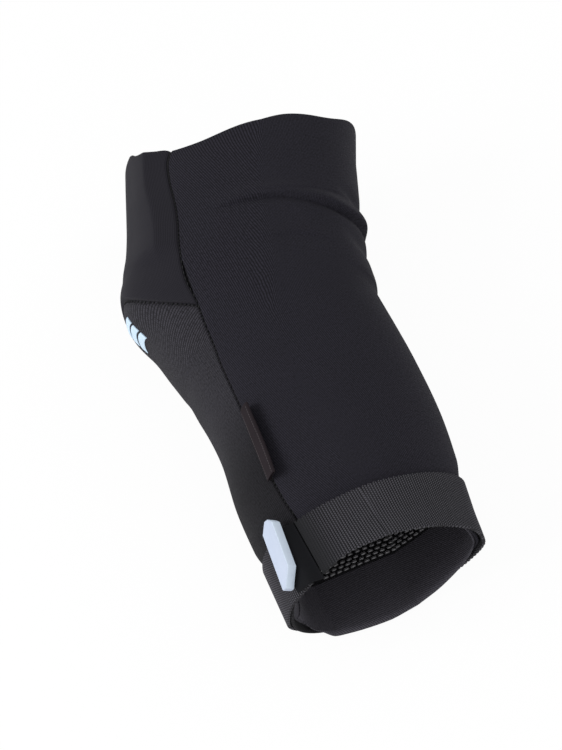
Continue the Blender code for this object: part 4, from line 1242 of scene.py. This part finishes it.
def makeCamera():
    back = Vector((
        math.sin(view["azimuth"]) * math.cos(view["elevation"]),
        -math.cos(view["azimuth"]) * math.cos(view["elevation"]),
        math.sin(view["elevation"]),
    ))
    data = bpy.data.cameras.new("camera")
    data.sensor_width = view["sensor"]
    data.lens = view["sensor"] * view["focalPixels"] / view["imageHeight"]
    data.shift_x = -view["offset"][0] / view["imageHeight"]
    data.shift_y = view["offset"][1] / view["imageHeight"]
    data.clip_start = view["clipStart"]
    camera = bpy.data.objects.new("camera", data)
    camera.location = Vector(view["target"]) + back * view["distance"]
    camera.rotation_euler = back.to_track_quat("Z", "Y").to_euler()
    bpy.context.scene.collection.objects.link(camera)
    bpy.context.scene.camera = camera


# White floor and soft light; each lamp has a place, a size and a power
light = {
    "worldStrength": 0.6, "floorColour": 0.95, "floorGlow": 0.95, "floorSize": 6.0, "floorDrop": 0.2 * mm,
    "lamps": (
        ("left", (-1.4, 0.1, 0.85), 0.7, 17.0), ("right", (1.2, 0.3, 1.0), 0.9, 4.0),
        ("front", (0.2, -1.5, 0.6), 0.8, 4.0),
    ),
}


def makeStage():
    white = (1.0, 1.0, 1.0, 1.0)
    scene = bpy.context.scene
    world = bpy.data.worlds.new("studio")
    scene.world = world
    world.use_nodes = True
    tree = world.node_tree
    path = put(tree, "ShaderNodeLightPath").outputs
    seen = calc(tree, "MAXIMUM", path["Is Camera Ray"], path["Is Glossy Ray"])
    seen = calc(tree, "MAXIMUM", seen, path["Is Transmission Ray"])
    strength = calc(tree, "MULTIPLY_ADD", seen, 1.0 - light["worldStrength"], light["worldStrength"])
    shade = tree.nodes["Background"]
    shade.inputs["Color"].default_value = white
    tree.links.new(strength, shade.inputs["Strength"])

    material = bpy.data.materials.new("floor")
    material.use_nodes = True
    tree = material.node_tree
    shader = tree.nodes["Principled BSDF"]
    shader.inputs["Base Color"].default_value = (light["floorColour"],) * 3 + (1.0,)
    shader.inputs["Roughness"].default_value = 1.0
    shader.inputs["Specular IOR Level"].default_value = 0.0
    path = put(tree, "ShaderNodeLightPath").outputs
    glow = put(tree, "ShaderNodeEmission", {"Color": white, "Strength": 1.0})
    seen = calc(tree, "MULTIPLY", path["Is Camera Ray"], light["floorGlow"])
    mixed = put(tree, "ShaderNodeMixShader", {0: seen, 1: shader.outputs[0], 2: glow.outputs[0]})
    tree.links.new(mixed.outputs[0], tree.nodes["Material Output"].inputs["Surface"])
    bpy.ops.mesh.primitive_plane_add(size=light["floorSize"], location=(0, 0, -light["floorDrop"]))
    floor = bpy.context.object
    floor.name = "floor"
    floor.data.materials.append(material)

    for name, place, size, power in light["lamps"]:
        data = bpy.data.lights.new(name, "AREA")
        data.energy = power
        data.size = size
        lamp = bpy.data.objects.new(name, data)
        lamp.location = place
        lamp.rotation_euler = Vector(place).to_track_quat("Z", "Y").to_euler()
        scene.collection.objects.link(lamp)
    scene.view_settings.view_transform = "Standard"


makeCamera()
makeStage()
print("camera and light done")
